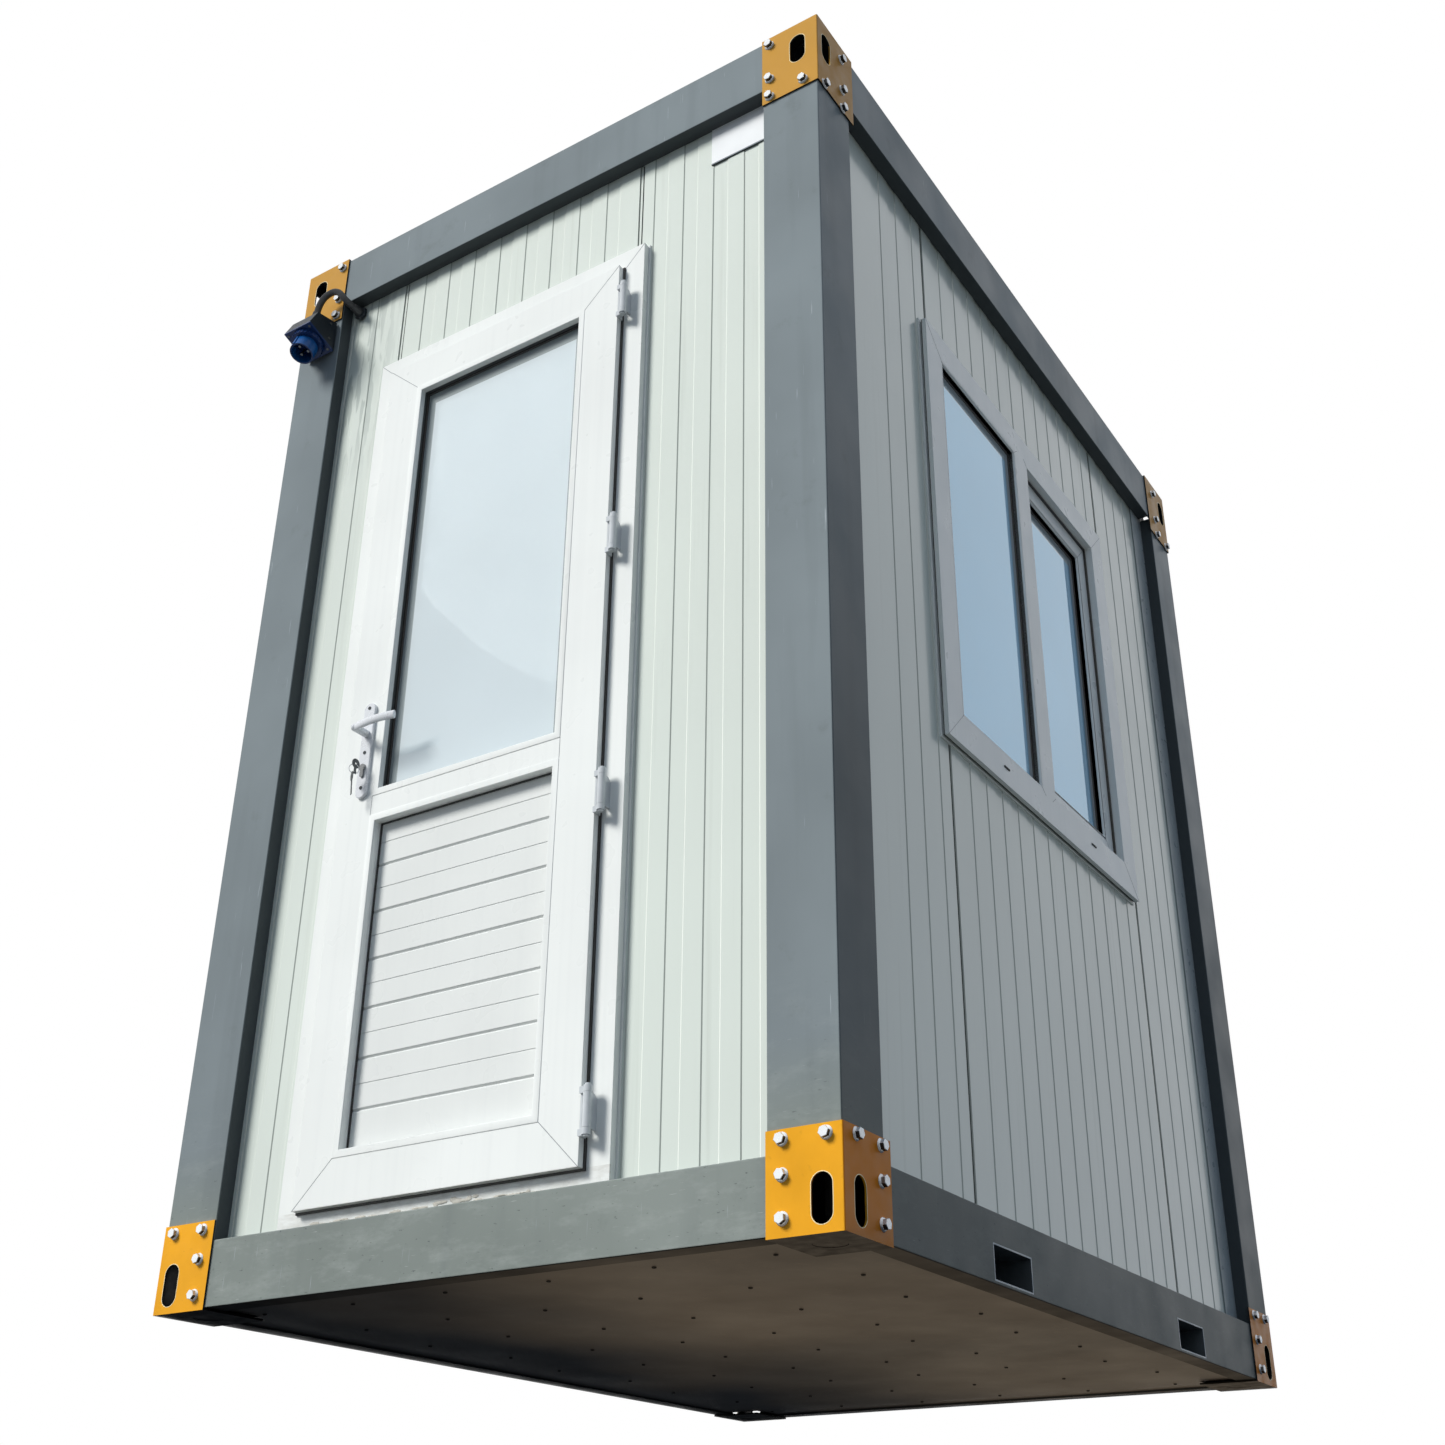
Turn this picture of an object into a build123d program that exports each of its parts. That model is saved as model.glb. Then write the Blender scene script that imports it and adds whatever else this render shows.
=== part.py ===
"""Security guard booth: a steel corner-post frame with ribbed wall panels, a glazed door and a window.

Millimetres, +X right across the front, +Y to the back, +Z up.
The origin is at the middle of the underside, on the plane that the four bottom fittings stand on.
"""
from build123d import *
import math
import os

# Overall size
WIDTH = 1640.0
DEPTH = 2280.0
HEIGHT = 2800.0

# Steel frame
PLATE = 4.0                     # thickness of every folded frame section
POST_FACE = 150.0               # width of each outer face of a corner post
FOLD = 3.0                      # outer radius of the folds
BOTTOM_BEAM_TOP = 140.0
TOP_BEAM_HEIGHT = 160.0
BOTTOM_FLANGE = 50.0
FLOOR_LEDGE = 130.0             # top flange of a bottom beam, under the walls and the floor's edge
ROOF_LEDGE = 100.0              # top flange of a top beam, over the roof sheet's edge
WALL_STOP = 50.0                # height of the upstand that the wall's outer face meets

# Corner fittings
FITTING_FRONT = 150.0           # along X
FITTING_SIDE = 165.0            # along Y
FITTING_BOTTOM_HEIGHT = 180.0
FITTING_TOP_HEIGHT = 210.0
SLOT_WIDTH = 42.0
SLOT_LENGTH = 86.0
BOTTOM_SLOT = (42.0, 55.0, 57.0)    # from the outer corner along X and along Y, and up from the base
TOP_SLOT = (54.0, 40.0, 80.0)       # the same, and down from the top
LIFT_HOLE = 62.0                    # round hole in the plate that closes a fitting's end
BEAM_END_X = 84.0               # a beam stops this far from the booth's corner, along X
BEAM_END_Y = 92.0

# Walls
WALL_INSET = 40.0               # from the booth's outer faces to the walls' outer faces
WALL = 50.0
WALL_INTO_TOP_BEAM = 40.0
RIB_PITCH = 85.4
RIB_WIDTH = 42.0
RIB_DEPTH = 1.6
RIB_SLOPE = 2.5
SEAM_WIDTH = 14.0
SEAM_DEPTH = 3.0

# Floor, underside, ceiling and roof
FLOOR_BOARD = 18.0
UNDER_SHEET = 2.0
CEILING = 40.0
ROOF_SHEET = 2.0
ROOF_RIB_PITCH = 205.0
ROOF_RIB_HEIGHT = 24.0
ROOF_RIB_TOP = 40.0
ROOF_RIB_FOOT = 80.0
SHEET_GAP = 12.0                # between the sheets' edges and the beams' webs

# Fork pockets, across the booth under the floor
POCKET_WIDTH = 175.0
POCKET_HEIGHT = 70.0
POCKET_WALL = 3.0
POCKET_CENTRES = (-480.0, 515.0)    # along Y

# Door
DOOR_LEFT = -505.0              # outer edges of the door frame
DOOR_RIGHT = 330.0
DOOR_HEAD = 280.0               # wall that shows between the frame and the top beam
DOOR_FRAME_INSET = 20.0         # from the booth's front to the frame's face
DOOR_FRAME_FACE = 72.0
DOOR_SILL = 40.0
LEAF_OVERLAP = 15.0             # how far the leaf's edge laps over the frame
LEAF_LAP = 15.0                 # thickness of that edge
LEAF_THICK = 65.0
LEAF_GAP = 5.0                  # clearance round the leaf
LEAF_SILL_LAP = 9.0             # how far the leaf's lower edge laps over the sill
LATCH_GAP = 9.0                 # clearance at the latch edge, which swings past the frame
LEAF_STILE = 112.0
LEAF_TOP_RAIL = 103.0
LEAF_BOTTOM_RAIL = 109.0
MID_RAIL_LOW = 1010.0
MID_RAIL_HIGH = 1086.0
GLAZING_DEPTH = 25.0            # from the leaf's face to the glass and to the boards
GLAZING_BITE = 12.0             # how far the glass runs into its groove
GLASS = 20.0
STOP_LIP = 18.0
BOARD_PITCH = 108.5
BOARD_FIRST = 86.0              # from the bottom rail to the first joint
BOARD_GROOVE = 4.0

# Hinges
HINGE_FROM_ENDS = (100.0, 113.0)        # from the leaf's lower and upper edge to the outer hinges
HINGE_SPREAD = (0.0, 0.338, 0.659, 1.0)
HINGE_LENGTH = 92.0
HINGE_KNUCKLE = 13.0            # each of the two knuckles on the leaf
HINGE_RADIUS = 8.5
HINGE_PIN = 4.0
HINGE_HEAD = (5.5, 3.0)         # radius and length of the pin's heads
HINGE_BORE_GAP = 0.3
HINGE_END_GAP = 0.5
HINGE_OFFSET_X = 20.0           # from the leaf's edge to the pin
HINGE_OFFSET_Y = 6.0            # from the leaf's face out to the pin
HINGE_WEB = 6.0                 # thickness of the web from the frame to the barrel
HINGE_WEB_CHAMFER = 9.0
HINGE_STRAP = 4.0               # thickness of the strap on the leaf's edge

# Handle and lock
HANDLE_X = -381.0
HANDLE_Z = 1232.0
LOCK_BELOW = 85.0
HANDLE_PLATE = (34.0, 240.0, 8.0)
HANDLE_PLATE_CENTRE = 1192.0
HANDLE_PLATE_ROUND = 2.5
SPINDLE = 8.0
SPINDLE_BORE = 13.0
LEVER_STAND = 46.0              # from the leaf's face to the lever's middle
LEVER_REACH = 119.0
LEVER_NECK = 18.0
LEVER_SECTION = (20.0, 12.0)
LEVER_BOW = 7.0
LEVER_GAP = 0.5
LOCK_ROUND = 17.0
LOCK_TAIL = 10.0
LOCK_HEIGHT = 33.0
LOCK_STAND = 4.0
LOCK_FIT = 0.3

# Window in the right wall
WINDOW_FRONT = -595.0           # outer edges of the frame, along Y
WINDOW_BACK = 523.0
WINDOW_LOW = 1150.0
WINDOW_HEAD = 340.0             # wall that shows between the window and the top beam
WINDOW_INSET = 20.0
WINDOW_FACE = 82.0
WINDOW_THICK = 70.0
WINDOW_FLANGE = 12.0            # thickness of the flange that covers the wall's cut edge
WINDOW_FLANGE_LAP = 5.0
MULLION = 80.0
MULLION_FROM_FRONT = 546.0      # to the mullion's middle
GLASS_DEPTH = 18.0              # from a frame's face to its glass
GLASS_BITE = 10.0
UNIT = 24.0                     # thickness of the fixed sealed glass unit
SASH_UNIT = 20.0
SASH_DEPTH = 25.0               # from the frame's face to the sash's face
SASH_FACE = 56.0
SASH_GAP = 4.0

# Flashings
SIDE_FLASHING = 85.0
FRONT_FLASHING = (165.0, 110.0)
FLASHING = 2.0

# Power inlet on the front left post, and its cable
INLET_FROM_SIDE = 89.5          # from the booth's left side to the inlet's middle
INLET_WIDTH = 93.0
INLET_BELOW_BEAM = 62.0
INLET_SLOPE_FALL = 12.0         # how far the top falls to its front edge
INLET_HEIGHT = 92.0
INLET_TOP_DEPTH = 69.0
INLET_LIP_DEPTH = 91.0          # from the post to the flange's front edge
INLET_LIP_HEIGHT = 33.0         # of that edge over the box's lowest point
FLANGE_THICK = 6.0
COLLAR = (42.0, 14.0)           # radius and length
SHROUD = (32.0, 38.0)
SHROUD_WALL = 4.0
WELL_INTO_COLLAR = 1.0
PIN = (3.5, 26.0)
PIN_CIRCLE = 14.0
PIN_COUNT = 3
GLAND = (15.0, 14.0)
GLAND_INTO_BOX = 4.0
CABLE = 18.0
CABLE_POINTS = [                # from the inlet's middle, the booth's front and the top beam's lower edge
    (98.5, 26.0, -28.0),
    (98.5, -22.0, -28.0),
    (66.5, -34.0, 24.0),
    (0.0, -34.0, 10.0),
    (0.0, -34.0, -53.5),
]

# Derived places
HALF_W = WIDTH / 2
HALF_D = DEPTH / 2
FRONT = -HALF_D
TOP_BEAM_LOW = HEIGHT - TOP_BEAM_HEIGHT
WALL_X = HALF_W - WALL_INSET            # outer face of the side walls
WALL_Y = HALF_D - WALL_INSET
WALL_TOP = TOP_BEAM_LOW + WALL_INTO_TOP_BEAM
ROOM_X = WALL_X - WALL
ROOM_Y = WALL_Y - WALL
FLOOR_TOP = BOTTOM_BEAM_TOP + FLOOR_BOARD
DOOR_TOP = TOP_BEAM_LOW - DOOR_HEAD
WINDOW_HIGH = TOP_BEAM_LOW - WINDOW_HEAD
POCKET_LOW = 2 * PLATE + UNDER_SHEET
FRAME_FACE_Y = FRONT + DOOR_FRAME_INSET
LEAF_LEFT = DOOR_LEFT + DOOR_FRAME_FACE - LEAF_OVERLAP
LEAF_RIGHT = DOOR_RIGHT - DOOR_FRAME_FACE + LEAF_OVERLAP
LEAF_TOP = DOOR_TOP - DOOR_FRAME_FACE + LEAF_OVERLAP
LEAF_LOW = BOTTOM_BEAM_TOP + DOOR_SILL - LEAF_SILL_LAP
LEAF_FACE_Y = FRAME_FACE_Y - LEAF_GAP - LEAF_LAP
LEAF_BACK_Y = LEAF_FACE_Y + LEAF_THICK
PANE_LEFT = LEAF_LEFT + LEAF_STILE
PANE_RIGHT = LEAF_RIGHT - LEAF_STILE
PANE_TOP = LEAF_TOP - LEAF_TOP_RAIL
PANEL_LOW = LEAF_LOW + LEAF_BOTTOM_RAIL
PIN_X = LEAF_RIGHT + HINGE_OFFSET_X
PIN_Y = LEAF_FACE_Y - HINGE_OFFSET_Y
HINGE_LOWEST = LEAF_LOW + HINGE_FROM_ENDS[0]
HINGE_RISE = LEAF_TOP - HINGE_FROM_ENDS[1] - HINGE_LOWEST
LOCK_Z = HANDLE_Z - LOCK_BELOW
MULLION_MIDDLE = WINDOW_FRONT + MULLION_FROM_FRONT
WINDOW_X = HALF_W - WINDOW_INSET        # the window frame's face
INLET_X = -HALF_W + INLET_FROM_SIDE
INLET_TOP = TOP_BEAM_LOW - INLET_BELOW_BEAM
CABLE_ROUTE = [(INLET_X + x, FRONT + y, TOP_BEAM_LOW + z) for x, y, z in CABLE_POINTS]
BOX_GLAND_Y = CABLE_ROUTE[-1][1]
PIECES = {}


def slab(x0, x1, y0, y1, z0, z1):
    """A block between two opposite corners."""
    middle = Pos((x0 + x1) / 2, (y0 + y1) / 2, (z0 + z1) / 2)
    return middle * Box(abs(x1 - x0), abs(y1 - y0), abs(z1 - z0))


def rod(start, end, radius):
    """A round bar from one point to another."""
    along = Vector(*end) - Vector(*start)
    return Plane(origin=start, z_dir=along) * Cylinder(
        radius, along.length, align=(Align.CENTER, Align.CENTER, Align.MIN))


def prism(points, axis, start, end):
    """An outline in the plane across an axis, extruded along that axis."""
    if axis == "z":
        plane = Plane.XY.offset(start)
        length = end - start
    elif axis == "x":
        plane = Plane(origin=(start, 0, 0), x_dir=(0, 1, 0), z_dir=(1, 0, 0))
        length = end - start
    else:
        plane = Plane(origin=(0, end, 0), x_dir=(1, 0, 0), z_dir=(0, -1, 0))
        length = end - start
    outline = plane * make_face(Polyline(*points, close=True))
    return extrude(outline, amount=length, dir=plane.z_dir)


def fuse(parts):
    """One solid from pieces that touch or overlap."""
    whole = parts[0]
    for part in parts[1:]:
        whole = whole + part
    return whole


def put(name, shape):
    """Keep a finished piece under its name."""
    solids = shape.solids()
    PIECES[name] = solids[0] if len(solids) == 1 else Compound(children=list(solids))


def soften(shape, axis, radius, chosen):
    """Round the edges along an axis that a test on their middle chooses."""
    edges = [edge for edge in shape.edges().filter_by(axis) if chosen(edge.center())]
    return fillet(edges, radius)


# Steel frame

def corner_post():
    """The front right post: two outer faces, each with a return to the wall behind it."""
    x1 = HALF_W - PLATE
    y0 = FRONT + PLATE
    x0 = HALF_W - POST_FACE
    y1 = FRONT + POST_FACE
    low = BOTTOM_BEAM_TOP
    high = TOP_BEAM_LOW
    post = fuse([
        slab(x0, x1, y0, y0 + PLATE, low, high),
        slab(x1 - PLATE, x1, y0, y1, low, high),
        slab(x0, x0 + PLATE, y0, -WALL_Y, low, high),
        slab(WALL_X, x1, y1 - PLATE, y1, low, high),
    ])

    def outer(middle):
        on_front = abs(middle.Y - y0) < 0.01
        on_side = abs(middle.X - x1) < 0.01
        return on_front or on_side
    return soften(post, Axis.Z, FOLD, outer)


def corners():
    """Every corner's name and the mirrors that carry the front right one to it."""
    return (
        ("front_right", False, False),
        ("front_left", True, False),
        ("back_right", False, True),
        ("back_left", True, True),
    )


def carried(shape, to_left, to_back):
    """A piece of the front right corner, mirrored to another corner."""
    if to_left:
        shape = mirror(shape, about=Plane.YZ)
    if to_back:
        shape = mirror(shape, about=Plane.XZ)
    return shape


def fitting(low, high, slot, slot_z, cap_low):
    """The front right fitting: two outer plates with slots, and an end plate with a round hole."""
    x0 = HALF_W - FITTING_FRONT
    y1 = FRONT + FITTING_SIDE
    body = fuse([
        slab(x0, HALF_W, FRONT, FRONT + PLATE, low, high),
        slab(HALF_W - PLATE, HALF_W, FRONT, y1, low, high),
        slab(x0, HALF_W, FRONT, y1, cap_low, cap_low + PLATE),
    ])
    body = soften(body, Axis.Z, FOLD, lambda middle: middle.X > HALF_W - 0.01 and middle.Y < FRONT + 0.01)
    hole_x = HALF_W - FITTING_FRONT / 2
    hole_y = FRONT + FITTING_SIDE / 2
    cutter = SlotOverall(SLOT_LENGTH, SLOT_WIDTH, rotation=90)
    front_plane = Plane(origin=(HALF_W - slot[0], FRONT, slot_z), x_dir=(1, 0, 0), z_dir=(0, -1, 0))
    side_plane = Plane(origin=(HALF_W, FRONT + slot[1], slot_z), x_dir=(0, 1, 0), z_dir=(1, 0, 0))
    body = body - extrude(front_plane * cutter, amount=2 * PLATE, both=True)
    body = body - extrude(side_plane * cutter, amount=2 * PLATE, both=True)
    return body - Pos(hole_x, hole_y, cap_low) * Cylinder(LIFT_HOLE / 2, 4 * PLATE)


def beam_sections():
    """Outlines of the bottom and the top beam: distance in from the booth's face, and height."""
    skin = PLATE
    inner = 2 * PLATE
    bottom = [
        (skin, PLATE), (skin + BOTTOM_FLANGE, PLATE), (skin + BOTTOM_FLANGE, 2 * PLATE),
        (inner, 2 * PLATE), (inner, BOTTOM_BEAM_TOP - PLATE), (skin + FLOOR_LEDGE, BOTTOM_BEAM_TOP - PLATE),
        (skin + FLOOR_LEDGE, BOTTOM_BEAM_TOP), (skin, BOTTOM_BEAM_TOP),
    ]
    low = TOP_BEAM_LOW
    high = HEIGHT - PLATE
    top = [
        (skin, low), (WALL_INSET, low), (WALL_INSET, low + WALL_STOP),
        (WALL_INSET - PLATE, low + WALL_STOP), (WALL_INSET - PLATE, low + PLATE), (inner, low + PLATE),
        (inner, high - PLATE), (skin + ROOF_LEDGE, high - PLATE), (skin + ROOF_LEDGE, high), (skin, high),
    ]
    return bottom, top


def frame_beams():
    """Four bottom and four top beams, each stopping behind the plates of the fittings."""
    end_x = HALF_W - BEAM_END_X
    end_y = HALF_D - BEAM_END_Y
    ledges = ((PLATE, FLOOR_LEDGE), (HEIGHT - 2 * PLATE, FITTING_SIDE - PLATE))
    for level, section, (ledge_z, reach) in zip(("bottom", "top"), beam_sections(), ledges):
        front = prism([(FRONT + inset, z) for inset, z in section], "x", -end_x, end_x)
        side = prism([(HALF_W - inset, z) for inset, z in section], "y", -end_y, end_y)
        edge_z = PLATE if level == "bottom" else TOP_BEAM_LOW
        front = soften(front, Axis.X, FOLD, lambda m: abs(m.Y - FRONT - PLATE) < 0.01)
        side = soften(side, Axis.Y, FOLD, lambda m: abs(m.X - HALF_W + PLATE) < 0.01)
        side = side - end_notches(edge_z, reach)
        front = front - lock_room(ledge_z)
        if level == "bottom":
            for centre in POCKET_CENTRES:
                side = side - pocket_block(centre)
        put(level + "_beam_front", front)
        put(level + "_beam_back", mirror(front, about=Plane.XZ))
        put(level + "_beam_right", side)
        put(level + "_beam_left", mirror(side, about=Plane.YZ))


def end_notches(low, reach):
    """What a side beam's ledges give up at each end, where the front and back beams' ledges run."""
    inner = HALF_W - 2 * PLATE
    start = HALF_D - PLATE - reach
    deep = WIDTH
    notches = [slab(inner - deep, inner, start, HALF_D, low - 1, low + TOP_BEAM_HEIGHT)]
    notches.append(mirror(notches[0], about=Plane.XZ))
    return fuse(notches)


def lock_room(low):
    """What a front beam's outer ledge gives up at each end, clear of the round hole in the fitting."""
    room = slab(HALF_W - FITTING_FRONT, HALF_W, FRONT + 2 * PLATE, FRONT + FITTING_SIDE, low, low + PLATE)
    return room + mirror(room, about=Plane.YZ)


def pocket_block(centre):
    """The outside of a fork pocket, right across the booth."""
    half = POCKET_WIDTH / 2
    reach = HALF_W - PLATE
    return slab(-reach, reach, centre - half, centre + half, POCKET_LOW, POCKET_LOW + POCKET_HEIGHT)


def fork_pockets():
    """Two rectangular tubes that end flush with the side beams."""
    half = POCKET_WIDTH / 2 - POCKET_WALL
    tubes = []
    for centre in POCKET_CENTRES:
        bore = slab(-HALF_W, HALF_W, centre - half, centre + half,
                    POCKET_LOW + POCKET_WALL, POCKET_LOW + POCKET_HEIGHT - POCKET_WALL)
        tubes.append(pocket_block(centre) - bore)
    put("fork_pockets", Compound(children=tubes))


def steel_frame():
    """Posts, beams, fittings and fork pockets."""
    post = corner_post()
    bottom = fitting(0.0, FITTING_BOTTOM_HEIGHT, BOTTOM_SLOT, BOTTOM_SLOT[2], 0.0)
    top = fitting(HEIGHT - FITTING_TOP_HEIGHT, HEIGHT, TOP_SLOT, HEIGHT - TOP_SLOT[2], HEIGHT - PLATE)
    for corner, to_left, to_back in corners():
        put("corner_post_" + corner, carried(post, to_left, to_back))
    for name, piece in (("bottom_fittings", bottom), ("top_fittings", top)):
        four = [carried(piece, to_left, to_back) for corner, to_left, to_back in corners()]
        put(name, Compound(children=four))
    frame_beams()
    fork_pockets()


# Walls

def rib_run(first, last):
    """Left edges of the shallow troughs between two places along a wall."""
    count = int((last - first - RIB_WIDTH) // RIB_PITCH) + 1
    return [first + RIB_PITCH * step for step in range(max(count, 0))]


def wall_outline(start, end, ribs, seams):
    """Outline of a panel from above: place along the wall, and depth in from its outer face."""
    troughs = [(edge, edge + RIB_WIDTH, RIB_DEPTH, RIB_SLOPE) for edge in ribs]
    troughs += [(seam - SEAM_WIDTH / 2, seam + SEAM_WIDTH / 2, SEAM_DEPTH, 1.0) for seam in seams]
    points = [(start, 0.0)]
    for left, right, depth, slope in sorted(troughs):
        if left > start + 1 and right < end - 1:
            points += [(left, 0.0), (left + slope, depth), (right - slope, depth), (right, 0.0)]
    return points + [(end, 0.0), (end, WALL), (start, WALL)]


def front_panel(start, end, low, high, ribs, seams):
    outline = wall_outline(start, end, ribs, seams)
    return prism([(place, -WALL_Y + depth) for place, depth in outline], "z", low, high)


def side_panel(start, end, low, high, ribs, seams):
    outline = wall_outline(start, end, ribs, seams)
    return prism([(WALL_X - depth, place) for place, depth in outline], "z", low, high)


def walls():
    """Ribbed sandwich panels: the front in three parts round the doorway, and three whole sides."""
    low = BOTTOM_BEAM_TOP
    left_seam = DOOR_LEFT + 35.0
    right_seam = DOOR_RIGHT - 30.0
    over_ribs = rib_run(left_seam + 65.0, right_seam)
    right_ribs = rib_run(right_seam + 38.0, WALL_X)
    left_ribs = rib_run(left_seam - 3 * RIB_PITCH - 20.0, left_seam)
    put("front_wall_left", front_panel(-WALL_X, DOOR_LEFT, low, WALL_TOP, left_ribs, []))
    put("front_wall_right", front_panel(DOOR_RIGHT, WALL_X, low, WALL_TOP, right_ribs, []))
    put("front_wall_over_door", front_panel(DOOR_LEFT, DOOR_RIGHT, DOOR_TOP, WALL_TOP,
                                            over_ribs, [left_seam, right_seam]))
    half_panel = 6.5 * RIB_PITCH
    seams = [-half_panel, half_panel]
    ribs = rib_run(-half_panel - 3 * RIB_PITCH - 8.0, -half_panel)
    ribs += rib_run(-half_panel + 60.0, half_panel)
    ribs += rib_run(half_panel + 60.0, ROOM_Y)
    side = side_panel(-ROOM_Y, ROOM_Y, low, WALL_TOP, ribs, seams)
    lap = WINDOW_FLANGE_LAP
    window_hole = slab(ROOM_X - 1, WALL_X + 1, WINDOW_FRONT + lap, WINDOW_BACK - lap,
                       WINDOW_LOW + lap, WINDOW_HIGH - lap)
    put("right_wall", side - window_hole)
    put("left_wall", mirror(side, about=Plane.YZ))
    back_ribs = rib_run(-WALL_X + POST_FACE, 0.0)
    back_ribs += rib_run(RIB_PITCH / 2, WALL_X - POST_FACE + RIB_WIDTH)
    back = front_panel(-WALL_X, WALL_X, low, WALL_TOP, back_ribs, [0.0])
    put("back_wall", mirror(back, about=Plane.XZ))


def flashings():
    """The strip beside the back right post, and the short plate beside the front right post."""
    post_edge = HALF_D - POST_FACE
    put("side_flashing", slab(WALL_X, WALL_X + FLASHING, post_edge - SIDE_FLASHING, post_edge,
                              BOTTOM_BEAM_TOP, TOP_BEAM_LOW))
    post_x = HALF_W - POST_FACE
    width, height = FRONT_FLASHING
    put("front_flashing", slab(post_x - width, post_x, -WALL_Y - FLASHING, -WALL_Y,
                               TOP_BEAM_LOW - height, TOP_BEAM_LOW))


# Floor, underside, ceiling and roof

def roof_outline():
    """Outline across the roof sheet: trapezoid ribs, with the sheet's thickness under them."""
    half = HALF_W - 2 * PLATE - SHEET_GAP
    top = HEIGHT - 2 * PLATE
    base = top - ROOF_RIB_HEIGHT
    count = int(2 * (half - ROOF_RIB_FOOT) // ROOF_RIB_PITCH) + 1
    first = -(count - 1) * ROOF_RIB_PITCH / 2
    upper = [(-half, base)]
    for step in range(count):
        middle = first + step * ROOF_RIB_PITCH
        upper += [
            (middle - ROOF_RIB_FOOT / 2, base), (middle - ROOF_RIB_TOP / 2, top),
            (middle + ROOF_RIB_TOP / 2, top), (middle + ROOF_RIB_FOOT / 2, base),
        ]
    upper.append((half, base))
    lower = [(x, z - ROOF_SHEET) for x, z in reversed(upper)]
    return upper + lower


def corner_clearance():
    """The four upright spaces inside the fittings, which the level sheets leave open."""
    space = slab(HALF_W - FITTING_FRONT, HALF_W, FRONT, FRONT + FITTING_SIDE, 0.0, HEIGHT)
    return fuse([carried(space, to_left, to_back) for corner, to_left, to_back in corners()])


def floor_and_roof():
    """The level pieces, from the underside sheet up to the ribbed roof sheet."""
    sheet_x = HALF_W - 2 * PLATE - SHEET_GAP
    sheet_y = HALF_D - 2 * PLATE - SHEET_GAP
    clear = corner_clearance()
    underside = slab(-sheet_x, sheet_x, -sheet_y, sheet_y, 2 * PLATE, 2 * PLATE + UNDER_SHEET)
    put("underside_sheet", underside - clear)
    put("floor_board", slab(-ROOM_X, ROOM_X, -ROOM_Y, ROOM_Y, BOTTOM_BEAM_TOP, FLOOR_TOP))
    put("ceiling_panel", slab(-ROOM_X, ROOM_X, -ROOM_Y, ROOM_Y, TOP_BEAM_LOW - CEILING, TOP_BEAM_LOW))
    put("roof_sheet", prism(roof_outline(), "y", -sheet_y, sheet_y) - clear)


# Door

def door_frame():
    """Welded frame in the doorway, with a lip behind the leaf."""
    back = -ROOM_Y
    low = BOTTOM_BEAM_TOP
    opening_left = DOOR_LEFT + DOOR_FRAME_FACE
    opening_right = DOOR_RIGHT - DOOR_FRAME_FACE
    opening_top = DOOR_TOP - DOOR_FRAME_FACE
    opening_low = low + DOOR_SILL
    lip = back - STOP_LIP
    frame = slab(DOOR_LEFT, DOOR_RIGHT, FRAME_FACE_Y, back, low, DOOR_TOP)
    frame = frame - slab(opening_left, opening_right, FRAME_FACE_Y - 1, lip, opening_low, opening_top)
    return frame - slab(opening_left + STOP_LIP, opening_right - STOP_LIP, lip - 1, back + 1,
                        opening_low + 1, opening_top - STOP_LIP)


def leaf_opening(low, high):
    """The cut for a pane: the visible opening, and the groove that holds the pane's edge."""
    groove_y = LEAF_FACE_Y + GLAZING_DEPTH
    bite = GLAZING_BITE
    through = slab(PANE_LEFT, PANE_RIGHT, LEAF_FACE_Y - 1, LEAF_BACK_Y + 1, low, high)
    groove = slab(PANE_LEFT - bite, PANE_RIGHT + bite, groove_y, groove_y + GLASS,
                  low - bite, high + bite)
    return through + groove


def lock_outline(grow):
    """Cylinder lock seen from the front: a round barrel with a narrow tail under it."""
    radius = LOCK_ROUND / 2 + grow
    tail = LOCK_TAIL / 2 + grow
    drop = LOCK_HEIGHT - LOCK_ROUND / 2 - LOCK_TAIL / 2
    plane = Plane(origin=(HANDLE_X, 0, LOCK_Z), x_dir=(1, 0, 0), z_dir=(0, -1, 0))
    outline = Circle(radius) + Pos(0, -drop / 2) * Rectangle(2 * tail, drop) + Pos(0, -drop) * Circle(tail)
    return plane * outline


def through_leaf(outline_face, start, end):
    """A face on the plane Y = 0, moved to Y = end and extruded forward to Y = start."""
    return extrude(Pos(0, end, 0) * outline_face, amount=end - start, dir=(0, -1, 0))


def door_leaf():
    """Welded leaf: its face laps over the frame, and its body stands in the frame's opening."""
    opening_left = DOOR_LEFT + DOOR_FRAME_FACE
    opening_right = DOOR_RIGHT - DOOR_FRAME_FACE
    opening_top = DOOR_TOP - DOOR_FRAME_FACE
    opening_low = BOTTOM_BEAM_TOP + DOOR_SILL
    lap_y = LEAF_FACE_Y + LEAF_LAP
    leaf = slab(LEAF_LEFT, LEAF_RIGHT, LEAF_FACE_Y, lap_y, LEAF_LOW, LEAF_TOP)
    leaf = leaf + slab(opening_left + LATCH_GAP, opening_right - LEAF_GAP, lap_y, LEAF_BACK_Y,
                       opening_low + LEAF_GAP, opening_top - LEAF_GAP)
    leaf = leaf - leaf_opening(MID_RAIL_HIGH, PANE_TOP)
    leaf = leaf - leaf_opening(PANEL_LOW, MID_RAIL_LOW)
    leaf = leaf - rod((HANDLE_X, LEAF_FACE_Y - 1, HANDLE_Z), (HANDLE_X, LEAF_BACK_Y + 1, HANDLE_Z),
                      SPINDLE_BORE / 2)
    return leaf - through_leaf(lock_outline(LOCK_FIT), LEAF_FACE_Y - 1, LEAF_BACK_Y + 1)


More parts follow.
